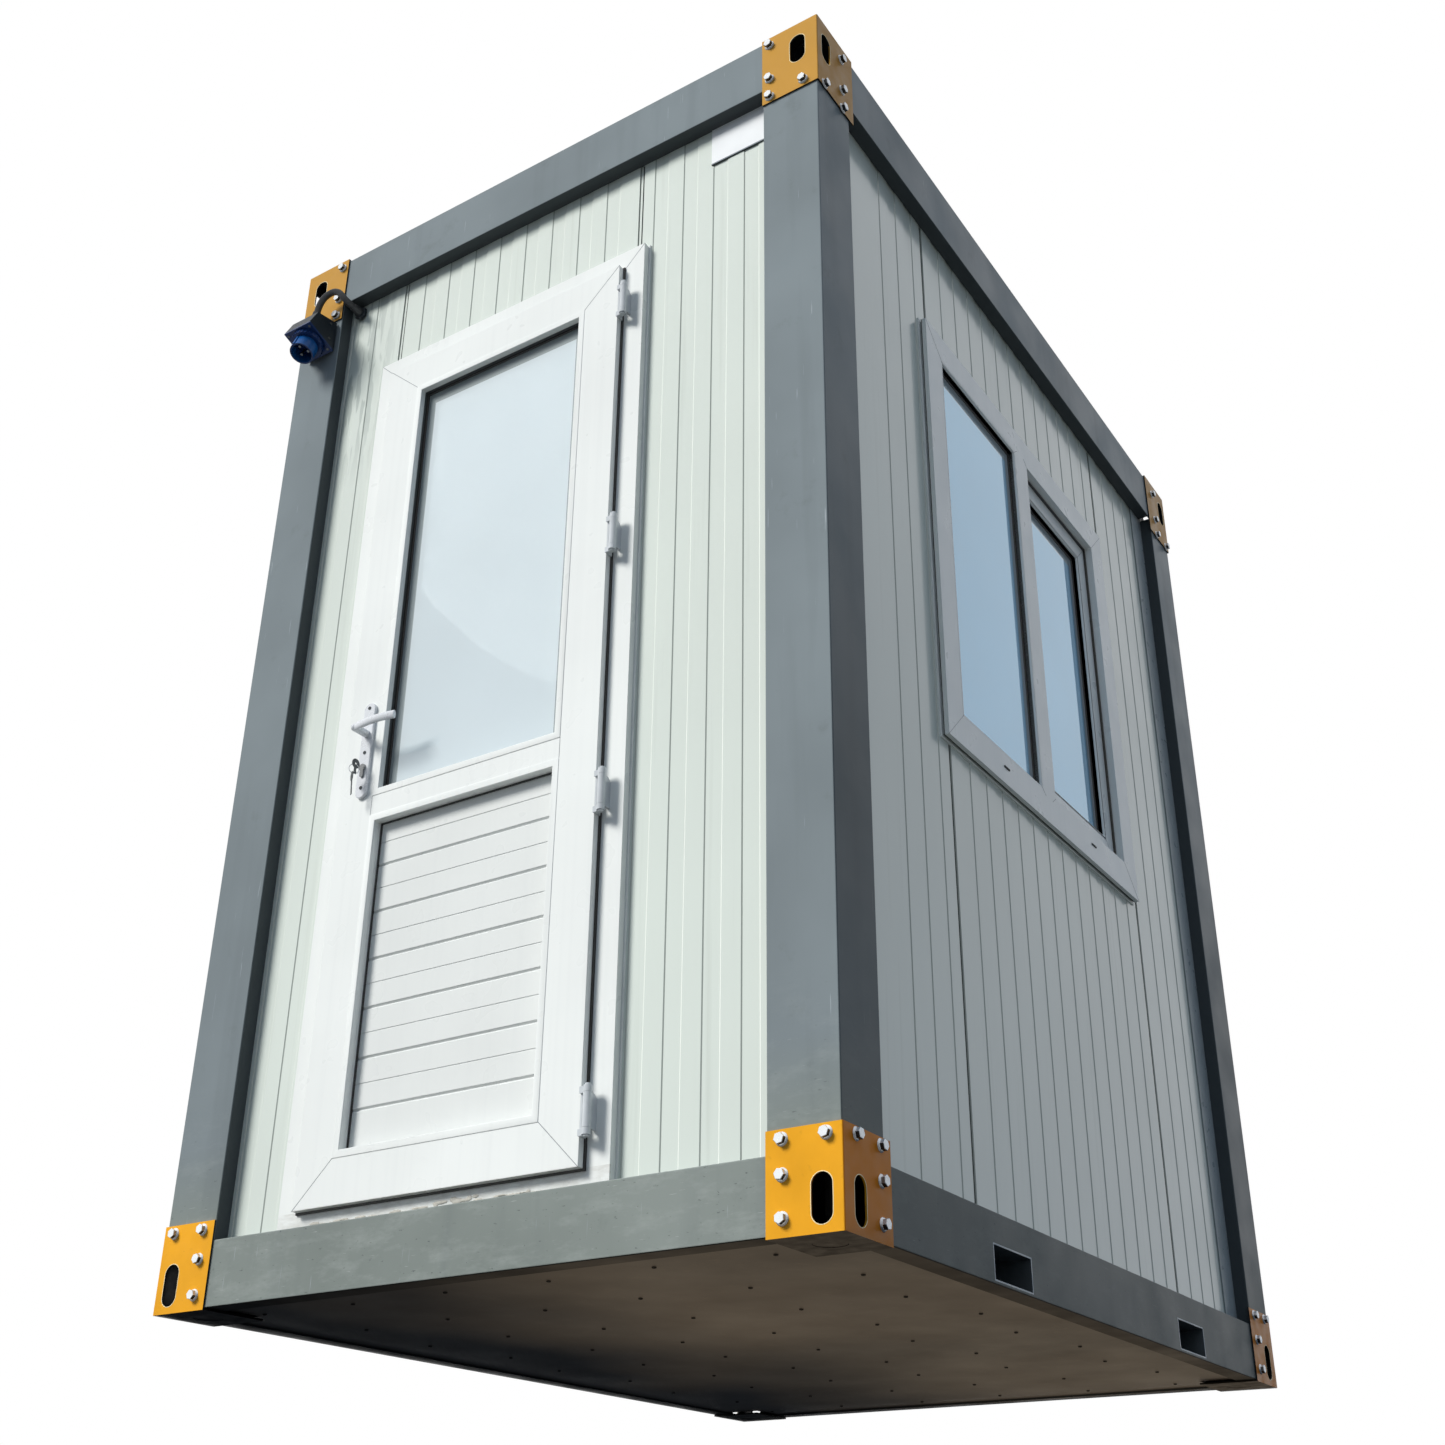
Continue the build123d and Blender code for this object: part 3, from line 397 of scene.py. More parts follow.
def weld_line(start, end, direction, width):
    """A low rounded line from one point to another on a face that looks in a direction."""
    start, end = Vector(start), Vector(end)
    along = end - start
    piece = block((-along.length / 2, -width / 2, -0.0006), (along.length / 2, width / 2, 0.00035))
    softened(piece, 0.0003, 1, lambda middle: middle.z > 0.0)
    across = Vector(direction).cross(along.normalized())
    turned = Matrix((along.normalized(), across, Vector(direction))).transposed().to_4x4()
    piece.data.transform(Matrix.Translation((start + end) / 2) @ turned)
    return piece


def weld_lines(lines, direction):
    """Several weld lines on one face, joined."""
    return joined([weld_line(start, end, direction, sizes().weld_width) for start, end in lines])


def mitres(outer, inner, place, levels=(2, 3)):
    """Lines from the low and high corners of one outline to those of another; place puts them on a face."""
    return [(place(outer[side], outer[level]), place(inner[side], inner[level]))
            for side in (0, 1) for level in levels]


# Shapes that repeat, modelled upright at the origin

def flange_bolt():
    """A hexagon bolt with its flange."""
    size = sizes()
    radius = size.bolt_flange / 2
    flange = rimmed(drum(32, radius, 0.0, 0.0036, radius - 0.0028), (0.0, 0.0036), 0.0006)
    head = drum(6, size.bolt_hex / math.sqrt(3.0), 0.003, size.bolt_proud)
    edit(rimmed(head, (size.bolt_proud,), 0.0008))
    choose_top(head)
    bpy.ops.mesh.inset(thickness=0.0010, depth=0.0)
    done()
    return smooth(joined([flange, head]), 28.0)


def pan_screw(diameter, height):
    """A pan-head screw with a round recess."""
    head = drum(16, diameter / 2, -0.0005, height)
    edit(rimmed(head, (height,), height * 0.45, 2))
    choose_top(head)
    bpy.ops.mesh.inset(thickness=diameter * 0.12, depth=0.0)
    bpy.ops.mesh.inset(thickness=diameter * 0.02, depth=-height * 0.45)
    done()
    return smooth(head, 40.0)


def washer_screw():
    """A roofing screw on its sealing washer."""
    washer = rimmed(drum(16, 0.008, -0.0005, 0.0014), (0.0014,), 0.0006)
    head = rimmed(drum(6, 0.0046, 0.001, 0.0058), (0.0058,), 0.0007)
    return smooth(joined([washer, head]), 28.0)


def gland_nut(diameter, height):
    """A six-sided gland nut with a domed cap, round a cable."""
    nut = drum(6, diameter / math.sqrt(3.0), 0.0, height)
    edit(rimmed(nut, (height,), 0.0018, 2))
    choose_top(nut)
    bpy.ops.mesh.inset(thickness=0.0012, depth=0.0)
    bpy.ops.mesh.extrude_region_move(TRANSFORM_OT_translate={"value": (0.0, 0.0, height * 0.5)})
    bpy.ops.transform.resize(value=(0.86, 0.86, 1.0), center_override=(0.0, 0.0, height))
    done()
    return smooth(nut, 30.0)


def key(blade):
    """A flat key: its blade below, its round bow with a hole above."""
    bow = drum(24, sizes().key_bow / 2, -0.0010, 0.0010)
    edit(bow)
    choose(bow, "FACE", lambda middle, part: abs(part.normal.z) > 0.99)
    bpy.ops.mesh.inset(thickness=sizes().key_bow * 0.37)
    bpy.ops.mesh.bridge_edge_loops()
    choose(bow, "EDGE", lambda middle, part: abs(abs(middle.z) - 0.0010) < 1e-6 and middle.xy.length > 0.008)
    bevel(0.0004, 1)
    done()
    shank = block((-0.0038, -blade - 0.009, -0.0009), (0.0038, -0.009, 0.0009))
    edit(shank)
    bpy.ops.mesh.select_all(action="SELECT")
    bpy.ops.mesh.subdivide(number_cuts=3)
    choose(shank, "EDGE", lambda middle, part: middle.x > 0.0037 and abs(middle.y + blade * 0.75) < 0.004)
    bpy.ops.transform.translate(value=(-0.0016, 0.0, 0.0))
    done()
    return smooth(joined([bow, shank]))


# Materials

AXES = ("X", "Y", "Z")


def add(tree, kind, values=(), give=0, **settings):
    """Add a node with its settings, and give one of its outputs, or several by their names.

    The values go to its inputs, in order or by name; each is a number, a colour or an output to link."""
    node = tree.nodes.new("ShaderNode" + kind)
    for name, setting in settings.items():
        setattr(node, name, setting)
    for name, value in (values.items() if isinstance(values, dict) else enumerate(values)):
        if isinstance(value, bpy.types.NodeSocket):
            tree.links.new(value, node.inputs[name])
        else:
            node.inputs[name].default_value = value
    if isinstance(give, tuple):
        return [node.outputs[name] for name in give]
    return node.outputs[give] if node.outputs else None


def emptied(holder):
    """The node tree of a material or a world, with nothing in it."""
    holder.use_nodes = True
    holder.node_tree.nodes.clear()
    return holder.node_tree


def clouds(tree, place, scale, detail=3.0, rough=0.5, spread=None):
    """A cloudy pattern with its features about one over its scale in metres; three scales stretch it.

    The spread is the start and end of the part that is kept, and what they become if not 0 and 1."""
    if isinstance(scale, tuple):
        place = add(tree, "Mapping", {"Vector": place, "Scale": scale})
        scale = 1.0
    cloud = add(tree, "TexNoise", {"Vector": place, "Scale": scale, "Detail": detail, "Roughness": rough})
    return add(tree, "MapRange", (cloud, *spread)) if spread else cloud


def coats(tree, shade, *layers):
    """A colour with others laid over it in order, each by its share."""
    shade = linear(shade)
    for share, over in layers:
        shade = add(tree, "Mix", {0: share, 6: shade, 7: linear(over)}, 2, data_type="RGBA")
    return shade


def varied(tree, place, shade, scale, detail, spread, low, high):
    """A colour that is clouded between a darker and a lighter tint of itself."""
    cloud = clouds(tree, place, scale, detail, spread=spread)
    return coats(tree, tinted(shade, low), (cloud, tinted(shade, high)))


def product(tree, value, *others):
    """Several numbers multiplied."""
    for other in others:
        value = add(tree, "Math", (value, other), operation="MULTIPLY")
    return value


def within(tree, value, low, high):
    """One where a value lies between two limits."""
    above = add(tree, "Math", (value, low), operation="GREATER_THAN")
    return product(tree, above, add(tree, "Math", (value, high), operation="LESS_THAN"))


def beyond(tree, value, limit):
    """One where a value is further from nought than a limit."""
    distance = add(tree, "Math", (value,), operation="ABSOLUTE")
    return add(tree, "Math", (distance, limit), operation="GREATER_THAN")


def outlook(tree):
    """The way that the surface faces, as its parts along X, Y and Z."""
    return add(tree, "SeparateXYZ", (add(tree, "NewGeometry", give="True Normal"),), AXES)


def tinted(shade, amount):
    """A colour made lighter or darker by a factor."""
    return tuple(min(1.0, part * amount) for part in shade[:3]) + (1.0,)


def shade_facing_in(tree, place):
    """One on the faces that look towards the booth's middle, where shade is painted dark."""
    normal = add(tree, "NewGeometry", give="True Normal")
    toward = add(tree, "VectorMath", (place, normal), "Value", operation="DOT_PRODUCT")
    return add(tree, "Math", (toward, -0.3), operation="LESS_THAN")


def shade_facing_down(tree, place, height):
    """One on the faces below a height that look down, where shade is painted near black."""
    up = add(tree, "SeparateXYZ", (place,), "Z")
    low = add(tree, "Math", (up, height), operation="LESS_THAN")
    return product(tree, low, add(tree, "Math", (outlook(tree)[2], -0.5), operation="LESS_THAN"))


def finish_of(name, base, gloss, bumps, constants=None, arris=0.0):
    """A material: a tree function for its colour, its gloss, and its bumps one on another.

    The gloss is the scale and detail of a cloudy pattern and the two roughnesses it lies between, or a tree
    function. A bump is its pattern's scale and detail, its strength and its height in metres. The arris is
    how far the sharp edges look rounded."""
    material = bpy.data.materials.new(name)
    tree = emptied(material)
    place = add(tree, "TexCoord", give="Object")
    values = dict(constants or {})
    values["Base Color"] = base(tree, place)
    if callable(gloss):
        values["Roughness"] = gloss(tree, place)
    else:
        scale, detail, low, high = gloss
        values["Roughness"] = clouds(tree, place, scale, detail, spread=(0.3, 0.7, low, high))
    if arris:
        values["Normal"] = add(tree, "Bevel", {"Radius": arris}, samples=4)
    for scale, detail, strength, height in bumps:
        bump = {"Height": clouds(tree, place, scale, detail), "Strength": strength, "Distance": height}
        if "Normal" in values:
            bump["Normal"] = values["Normal"]
        values["Normal"] = add(tree, "Bump", bump)
    add(tree, "OutputMaterial", {"Surface": add(tree, "BsdfPrincipled", values)})
    return material


def slate_enamel():
    """Alkyd enamel sprayed on folded steel: a soft gloss, faint orange peel, rain streaks and scratches, with
    painted shade on faces that look sideways, inward or down.
    """
    steel = colour("steel")

    def base(tree, place):
        cloud = clouds(tree, place, 2.4, spread=(0.35, 0.68))
        height = add(tree, "SeparateXYZ", (place,), "Z")
        handled = add(tree, "MapRange", (height, 0.50, 0.12))
        dust = clouds(tree, place, (9.0, 9.0, 26.0), 6.0, 0.7, (0.50, 0.72, 0.0, 0.30))
        scuff = clouds(tree, place, (60.0, 60.0, 150.0), 4.0, 0.6, (0.66, 0.70, 0.0, 0.55))
        scratch = clouds(tree, place, (30.0, 30.0, 420.0), 3.0, 0.6, (0.68, 0.71, 0.0, 0.45))
        on_side = beyond(tree, outlook(tree)[0], 0.5)
        return coats(
            tree, tinted(steel, 0.90), (cloud, tinted(steel, 1.08)),
            # Dust near the ground
            (add(tree, "MapRange", (height, 0.34, 0.17, 0.0, 0.85)),
             coats(tree, "#777e79", (cloud, "#858c87"))),
            # Rain streaks, stains, and nicks down to the bare steel
            (clouds(tree, place, (14.0, 14.0, 0.9), 5.0, spread=(0.52, 0.74, 0.0, 0.30)),
             tinted(steel, 0.58)),
            (clouds(tree, place, 11.0, 6.0, 0.65, (0.60, 0.76, 0.0, 0.30)), "#59605f"),
            (clouds(tree, place, (260.0, 260.0, 9.0), 2.0, spread=(0.74, 0.78, 0.0, 0.55)), "#aeb6bc"),
            # Where forks and hands have been
            (product(tree, handled, dust), "#a9afac"),
            (product(tree, handled, scuff), "#3b4244"),
            (product(tree, handled, scratch), "#b4bab6"),
            # Painted shade on the faces that look to the sides, deeper towards the bottom
            (product(tree, on_side, add(tree, "MapRange", (height, 2.4, 0.9, 0.0, 0.62))), "#3c4446"),
            # Painted shade on faces turned toward the booth's middle, and near black on low faces turned down
            (shade_facing_in(tree, place), "#43494c"),
            (shade_facing_down(tree, place, 0.0085), "#17191b"))

    bumps = [(420.0, 1.0, 0.05, 0.0004), (6.0, 1.0, 0.12, 0.0012)]
    return finish_of("sprayed_slate_enamel", base, (7.0, 4.0, 0.30, 0.46), bumps,
                     {"Specular IOR Level": 0.09})


def fitting_enamel():
    """Orange-yellow enamel on thick cut plate: soft gloss, dirty, faded high up, with painted shade on the
    sides, in the holes and on faces turned in or down.
    """
    shade = colour("fitting")
    plate = 0.012                   # thickness of the plate

    def base(tree, place):
        across, along, height = add(tree, "SeparateXYZ", (place,), AXES)
        # The walls of the hole in a bottom fitting, where shade is painted near black
        inside = product(tree, add(tree, "Math", (height, plate), operation="LESS_THAN"),
                         within(tree, across, plate - RIGHT, RIGHT - plate),
                         within(tree, along, plate - BACK, BACK - plate))
        return coats(
            tree, varied(tree, place, shade, 9.0, 4.0, (0.35, 0.7), 0.90, 1.05),
            (clouds(tree, place, 46.0, 5.0, 0.65, (0.64, 0.78, 0.0, 0.35)), "#a37a24"),
            # Painted shade on the faces that look to the sides: a deeper orange
            (product(tree, beyond(tree, outlook(tree)[0], 0.5), 0.92), "#c87412"),
            (add(tree, "MapRange", (height, 1.0, 2.2, 0.0, 0.80)), "#b58b47"),
            (clouds(tree, place, 150.0, 2.0, spread=(0.76, 0.78, 0.0, 0.8)), "#6b5a3c"),
            # Painted shade on faces turned in, near black on faces turned down and on the hole's walls
            (shade_facing_in(tree, place), "#262626"),
            (shade_facing_down(tree, place, 0.0005), "#1a1a1b"),
            (inside, "#1a1a1b"))

    return finish_of("yellow_plate_enamel", base, (30.0, 3.0, 0.30, 0.48), [(380.0, 1.0, 0.06, 0.0004)],
                     {"Specular IOR Level": 0.13})


def coated_sheet():
    """Polyester-coated sheet, roll formed: smooth and glossy, with long waves that bend reflections."""
    shade = colour("panel")

    def base(tree, place):
        across, along, height = add(tree, "SeparateXYZ", (place,), AXES)
        # Old film beside the inlet
        film = product(tree, add(tree, "MapRange", (across, -0.46, -0.58)),
                       add(tree, "Math", (along, -1.05), operation="LESS_THAN"),
                       add(tree, "MapRange", (height, 2.02, 2.22)),
                       clouds(tree, place, (48.0, 48.0, 5.0), spread=(0.50, 0.53, 0.0, 0.7)))
        # The folds beside each shallow trough: painted shade on one side of it, a painted highlight on the
        # other
        fold = product(tree, *outlook(tree)[:2])
        shaded_fold = product(tree, add(tree, "Math", (fold, -0.15), operation="LESS_THAN"), 0.75)
        lit_fold = product(tree, add(tree, "Math", (fold, 0.15), operation="GREATER_THAN"), 0.6)
        return coats(
            tree, varied(tree, place, shade, 1.3, 2.0, (0.3, 0.7), 0.95, 1.04),
            (clouds(tree, place, (55.0, 55.0, 1.4), 4.0, spread=(0.60, 0.80, 0.0, 0.16)), "#8d9488"),
            (film, "#a3aca7"), (shaded_fold, "#8b948d"), (lit_fold, "#f1f4ee"))

    waves = ((7.0, 7.0, 0.9), 2.0, 0.35, 0.003)
    return finish_of("polyester_coated_sheet", base, (5.0, 3.0, 0.17, 0.27), [waves],
                     {"Coat Weight": 0.25, "Coat Roughness": 0.08})


def rigid_plastic(name, shade):
    """Extruded rigid PVC: clean white, satin, with faint drawing lines and softly rounded arrises."""
    def base(tree, place):
        along, height = add(tree, "SeparateXYZ", (place,), ("Y", "Z"))
        dirt = product(tree, add(tree, "Math", (height, LEAF_LOW.z + 0.002), operation="LESS_THAN"),
                       add(tree, "Math", (along, DOOR_LOW.y + 0.004), operation="LESS_THAN"),
                       clouds(tree, place, (30.0, 30.0, 110.0), 5.0, 0.65, (0.35, 0.70, 0.05, 0.50)))
        return coats(
            tree, varied(tree, place, shade, 3.0, 3.0, (0.3, 0.7), 0.95, 1.02),
            (clouds(tree, place, (70.0, 70.0, 0.8), 1.0, spread=(0.50, 0.80, 0.0, 0.11)), "#c3c7c8"),
            (dirt, "#a9a69e"))

    lines = ((140.0, 140.0, 1.5), 0.0, 0.05, 0.0004)
    return finish_of(name, base, (14.0, 2.0, 0.26, 0.36), [lines], arris=0.0016)


def sealed_glass(name, shade, band, axis, lights, constants):
    """Float glass in sealed units: very smooth, a little wavy, with a band where its spacer lies; its pale
    sky-blue body is a painted reflection of the sky.
    """
    at_start, at_end, below, above = 0.030, 0.026, 0.012, 0.038     # how wide the spacer shows on each side

    def base(tree, place):
        parts = add(tree, "SeparateXYZ", (place,), AXES)
        clear = 0.0
        for start, end, low, high in lights:
            light = product(tree, within(tree, parts[axis], start + at_start, end - at_end),
                            within(tree, parts[2], low + below, high - above))
            clear = add(tree, "Math", (clear, light), operation="ADD")
        body = varied(tree, place, shade, 1.6, 2.0, (0.3, 0.7), 0.95, 1.06)
        return coats(tree, band, (clear, body))

    return finish_of(name, base, (9.0, 3.0, 0.005, 0.02), [(2.2, 1.0, 0.12, 0.002)],
                     {"IOR": 1.52, **constants})


def plain_finish(name, shade, roughness, metallic=0.0, grain=300.0, depth=0.0003, spread=0.10, **more):
    """A finish with a fine grain: its colour and gloss vary by a little over the surface."""
    def base(tree, place):
        tints = (1.0 - spread, 1.0 + spread * 0.6)
        return varied(tree, place, linear(shade), grain * 0.08, 4.0, (0.3, 0.7), *tints)

    gloss = (grain * 0.2, 3.0, max(0.02, roughness - 0.06), roughness + 0.08)
    return finish_of(name, base, gloss, [(grain, 2.0, 0.12, depth)], {"Metallic": metallic, **more})


def bolt_zinc():
    """Bright zinc plating on the bolts, with painted shade on the slopes that are turned neither out nor up.
    """
    def base(tree, place):
        turn = outlook(tree)
        on_side = beyond(tree, add(tree, "SeparateXYZ", (place,), "X"), RIGHT)
        on_front = add(tree, "Math", (1.0, on_side), operation="SUBTRACT")
        outward_share = [product(tree, share, add(tree, "Math", (turned,), operation="ABSOLUTE"))
                         for share, turned in ((on_side, turn[0]), (on_front, turn[1]))]
        slope = add(tree, "Math", outward_share, operation="ADD")
        shaded_slopes = product(tree, add(tree, "MapRange", (slope, 0.90, 0.45)),
                       add(tree, "MapRange", (turn[2], 0.40, -0.20)))
        clean = varied(tree, place, colour("zinc"), 40.0, 4.0, (0.3, 0.7), 1.24, 1.38)
        return coats(tree, clean, (shaded_slopes, "#25282a"))

    return finish_of("bright_bolt_zinc", base, (90.0, 3.0, 0.20, 0.32), [(420.0, 2.0, 0.10, 0.0001)],
                     {"Metallic": 0.30})


def underside_enamel():
    """Dark enamel on the sheet under the floor: glossy, with the sheets' joints and dust showing through."""
    def base(tree, place):
        return coats(
            tree, "#24262a",
            (clouds(tree, place, 0.9, spread=(0.35, 0.65)), tinted(colour("underside"), 1.05)),
            (clouds(tree, place, 26.0, 6.0, 0.7, (0.56, 0.80, 0.0, 0.35)), "#857a6d"))

    bumps = [(3.5, 2.0, 0.15, 0.003), (240.0, 2.0, 0.08, 0.0004)]
    return finish_of("dark_floor_enamel", base, (4.0, 5.0, 0.28, 0.40), bumps, {"Specular IOR Level": 0.5})


def galvanised_sheet():
    """Hot-dip galvanised sheet: a metal with flat crystal flakes about 14 mm wide."""
    def flakes(tree, place, low, high):
        flake = add(tree, "TexVoronoi", {"Vector": place, "Scale": 70.0}, "Color")
        return add(tree, "MapRange", (flake, 0.0, 1.0, low, high))

    def base(tree, place):
        return coats(tree, "#9aa0a4", (flakes(tree, place, 0.0, 1.0), "#c4c9cc"))

    def gloss(tree, place):
        return flakes(tree, place, 0.30, 0.48)

    return finish_of("galvanised_sheet", base, gloss, [(5.0, 2.0, 0.15, 0.001)], {"Metallic": 0.85})


def pocket_paint():
    """Slate enamel inside the fork pockets, darkened as painted shade, with the cut ends of the tubes left
    bright.
    """
    def base(tree, place):
        end = beyond(tree, add(tree, "SeparateXYZ", (place,), "X"), RIGHT - 0.0045)
        # The inside is the steel at about a third of its brightness: painted shade
        inside = varied(tree, place, colour("steel"), 18.0, 5.0, (0.35, 0.7), 0.28, 0.45)
        return coats(tree, inside, (end, "#b9bec0"))

    return finish_of("fork_pocket_enamel", base, (20.0, 3.0, 0.35, 0.6), [(200.0, 2.0, 0.1, 0.0004)])


def floor_vinyl():
    """Vinyl floor sheet: mid grey with small darker and paler flecks."""
    def base(tree, place):
        return coats(
            tree, "#8b8f92",
            (clouds(tree, place, 260.0, 2.0, spread=(0.36, 0.30, 0.0, 0.8)), "#5d6164"),
            (clouds(tree, place, 260.0, 2.0, spread=(0.64, 0.70, 0.0, 0.8)), "#c2c5c6"))

    return finish_of("flecked_vinyl", base, (12.0, 3.0, 0.36, 0.5), [(320.0, 1.0, 0.15, 0.0004)])


def inlet_plastic():
    """Moulded polyamide of the power inlet: navy flange, and a brighter blue shroud below it."""
    shroud = INLET_WAY.dot(INLET_SEAT) + 0.0205

    def base(tree, place):
        normal = add(tree, "NewGeometry", give="True Normal")
        depth, turn = (add(tree, "VectorMath", (vector, INLET_WAY), "Value", operation="DOT_PRODUCT")
                       for vector in (place, normal))
        blue = product(tree, add(tree, "MapRange", (depth, shroud, shroud + 0.0006)),
                       add(tree, "Math", (turn, 0.9), operation="LESS_THAN"))
        return coats(
            tree, "#0a1c3e",
            (clouds(tree, place, 90.0, spread=(0.3, 0.7, 0.85, 1.1)), "#102b5a"),
            (blue, colour("socket")))

    return finish_of("moulded_polyamide", base, (120.0, 2.0, 0.30, 0.42), [(900.0, 1.0, 0.1, 0.0002)],
                     {"Specular IOR Level": 0.25})


MATERIALS = {}


def make_materials():
    """Every finish, once."""
    if MATERIALS:
        return
    MATERIALS.update({
        "steel": slate_enamel(),
        "fitting": fitting_enamel(),
        "panel": coated_sheet(),
        "plastic": rigid_plastic("extruded_white_plastic", colour("plastic")),
        "boards": rigid_plastic("extruded_plastic_boards", tinted(colour("plastic"), 0.90)),
        # Door glass: its pale blue-white body is a painted reflection of the sky
        "glass": sealed_glass("door_float_glass", colour("glass"), "#a3adaf", 0, [GLASS],
                              {"Transmission Weight": 0.32, "Coat Weight": 0.2, "Coat Roughness": 0.01}),
        # Glass of the window: a faint blue mirror, whose blue is a painted reflection of the sky
        "side_glass": sealed_glass("window_coated_glass", colour("side_glass"), "#c3ced3", 1,
                                   [FIXED_LIGHT, SASH_LIGHT],
                                   {"Metallic": 0.30, "Transmission Weight": 0.14}),
        "underside": underside_enamel(),
        "roof": galvanised_sheet(),
        "pocket": pocket_paint(),
        "floor": floor_vinyl(),
        "socket": inlet_plastic(),
        "bolt": bolt_zinc(),
        # EPDM rubber, extruded: matt black with a soft sheen
        "rubber": plain_finish("epdm_rubber", colour("rubber"), 0.55, grain=500.0),
        # Zinc-plated steel, tumbled: bright and slightly uneven
        "zinc": plain_finish("zinc_plated_steel", colour("zinc"), 0.26, 0.45, grain=420.0, depth=0.0001),
        # Lacquered die-cast zinc: pale grey, smooth
        "handle": plain_finish("lacquered_die_casting", colour("handle"), 0.28, 0.15, grain=260.0,
                               spread=0.05),
        # Lacquered steel: pale grey, with rubbed edges
        "hinge": plain_finish("lacquered_hinge_steel", colour("hinge"), 0.36, 0.2, grain=240.0),
        # Nickel-plated brass, polished: a warm dark mirror
        "nickel": plain_finish("nickel_plated_brass", "#8f9192", 0.26, 0.9, grain=500.0),
        # Steel keys, stamped: dark and rubbed
        "key": plain_finish("stamped_key_steel", "#55585a", 0.34, 0.8, grain=500.0),
        # Grey lip of the glazing profile, extruded with it: dark, matt
        "liner": plain_finish("soft_grey_lip", "#3b4042", 0.50, grain=400.0),
        # ABS box, moulded with a fine texture: dark, its highlights broken up
        "box": plain_finish("textured_abs", "#111a22", 0.42, grain=900.0, depth=0.0005,
                            **{"Specular IOR Level": 0.3}),
        # Chloroprene cable sheath, extruded: matt black, chalky with handling
        "sheath": plain_finish("chloroprene_sheath", "#202225", 0.55, grain=350.0),
        # Painted strip in the steel's grey: a shade paler
        "strip": plain_finish("coated_grey_strip", "#9aa3a6", 0.32, grain=160.0, spread=0.06),
        # Bare galvanised plate, cut from coil: pale and clean
        "bare": plain_finish("bare_zinc_plate", "#eceff1", 0.34, 0.15, grain=120.0, spread=0.06),
        # Neutral-cure silicone: pale grey, soft gloss
        "sealant": plain_finish("silicone_sealant", colour("sealant"), 0.38, grain=220.0, spread=0.08),
        # Weld in white plastic, where the flash was planed off: a greyer line
        "weld": plain_finish("planed_plastic_weld", "#8f9396", 0.40, grain=300.0, spread=0.08),
        # Coated ceiling sheet: matt white
        "ceiling": plain_finish("matt_ceiling_sheet", "#e4e6e4", 0.55, grain=140.0, spread=0.03),
        # Cut edge of thick plate, where the enamel runs thin: pale
        "cut_edge": plain_finish("thin_enamel_edge", "#f6e3b4", 0.40, grain=260.0),
        # Matt and nearly black: the dark joints between wall panels, and painted shade beside them, in the
        # fittings' webs, in the drain slots and in the window's side groove
        "slot": plain_finish("dark_slot", "#0c0d0e", 0.7, grain=300.0),
        # Cement and sealant left on the sill: rough and chalky
        "mortar": plain_finish("dried_mortar", "#c4c1b8", 0.85, grain=700.0, depth=0.001, spread=0.16),
    })


# The frame's nodes by their finish, each as its whole name or as the start of several names
NODE_FINISHES = {
    "steel": ("corner_post_", "bottom_beam_", "top_beam_"),
    "fitting": ("bottom_fittings", "top_fittings"),
    "panel": ("front_wall_", "right_wall", "left_wall", "back_wall"),
    "plastic": ("door_frame", "door_leaf", "window_frame", "window_sash"),
    "boards": ("door_lower_panel",),
    "glass": ("door_glass",),
    "side_glass": ("window_glass",),
    "pocket": ("fork_pockets",),
    "underside": ("underside_sheet",),
    "floor": ("floor_board",),
    "ceiling": ("ceiling_panel",),
    "roof": ("roof_sheet",),
    "strip": ("side_flashing",),
    "bare": ("front_flashing",),
    "hinge": ("hinge_",),
    "handle": ("handle_",),
    "nickel": ("lock_cylinder",),
    "key": ("inlet_pins",),
    "box": ("inlet_box", "cable_gland"),
    "socket": ("inlet_socket",),
}


class BOOTH_OT_camera(bpy.types.Operator):
    """Camera from low down in front of the right corner, as the booth hangs above the eye"""
    bl_idname = "booth.camera"
    bl_label = "Camera"

    def execute(self, context):
        place = Vector((2.1752, -3.5728, -0.5752))
        right = Vector((0.83952, 0.54329, 0.00703))
        upward = Vector((0.2392, -0.3812, 0.8930))
        backward = Vector((0.48784, -0.74802, -0.44997))
        lens = bpy.data.cameras.new("booth_camera")
        lens.sensor_width = 36.0
        lens.lens = 42.69
        lens.shift_x = -0.0036
        lens.shift_y = 0.032
        lens.clip_end = 200.0
        camera = bpy.data.objects.new("booth_camera", lens)
        context.collection.objects.link(camera)
        turned = Matrix((right.normalized(), upward.normalized(), backward.normalized())).transposed()
        camera.matrix_world = Matrix.Translation(place) @ turned.to_4x4()
        context.scene.camera = camera
        return {"FINISHED"}


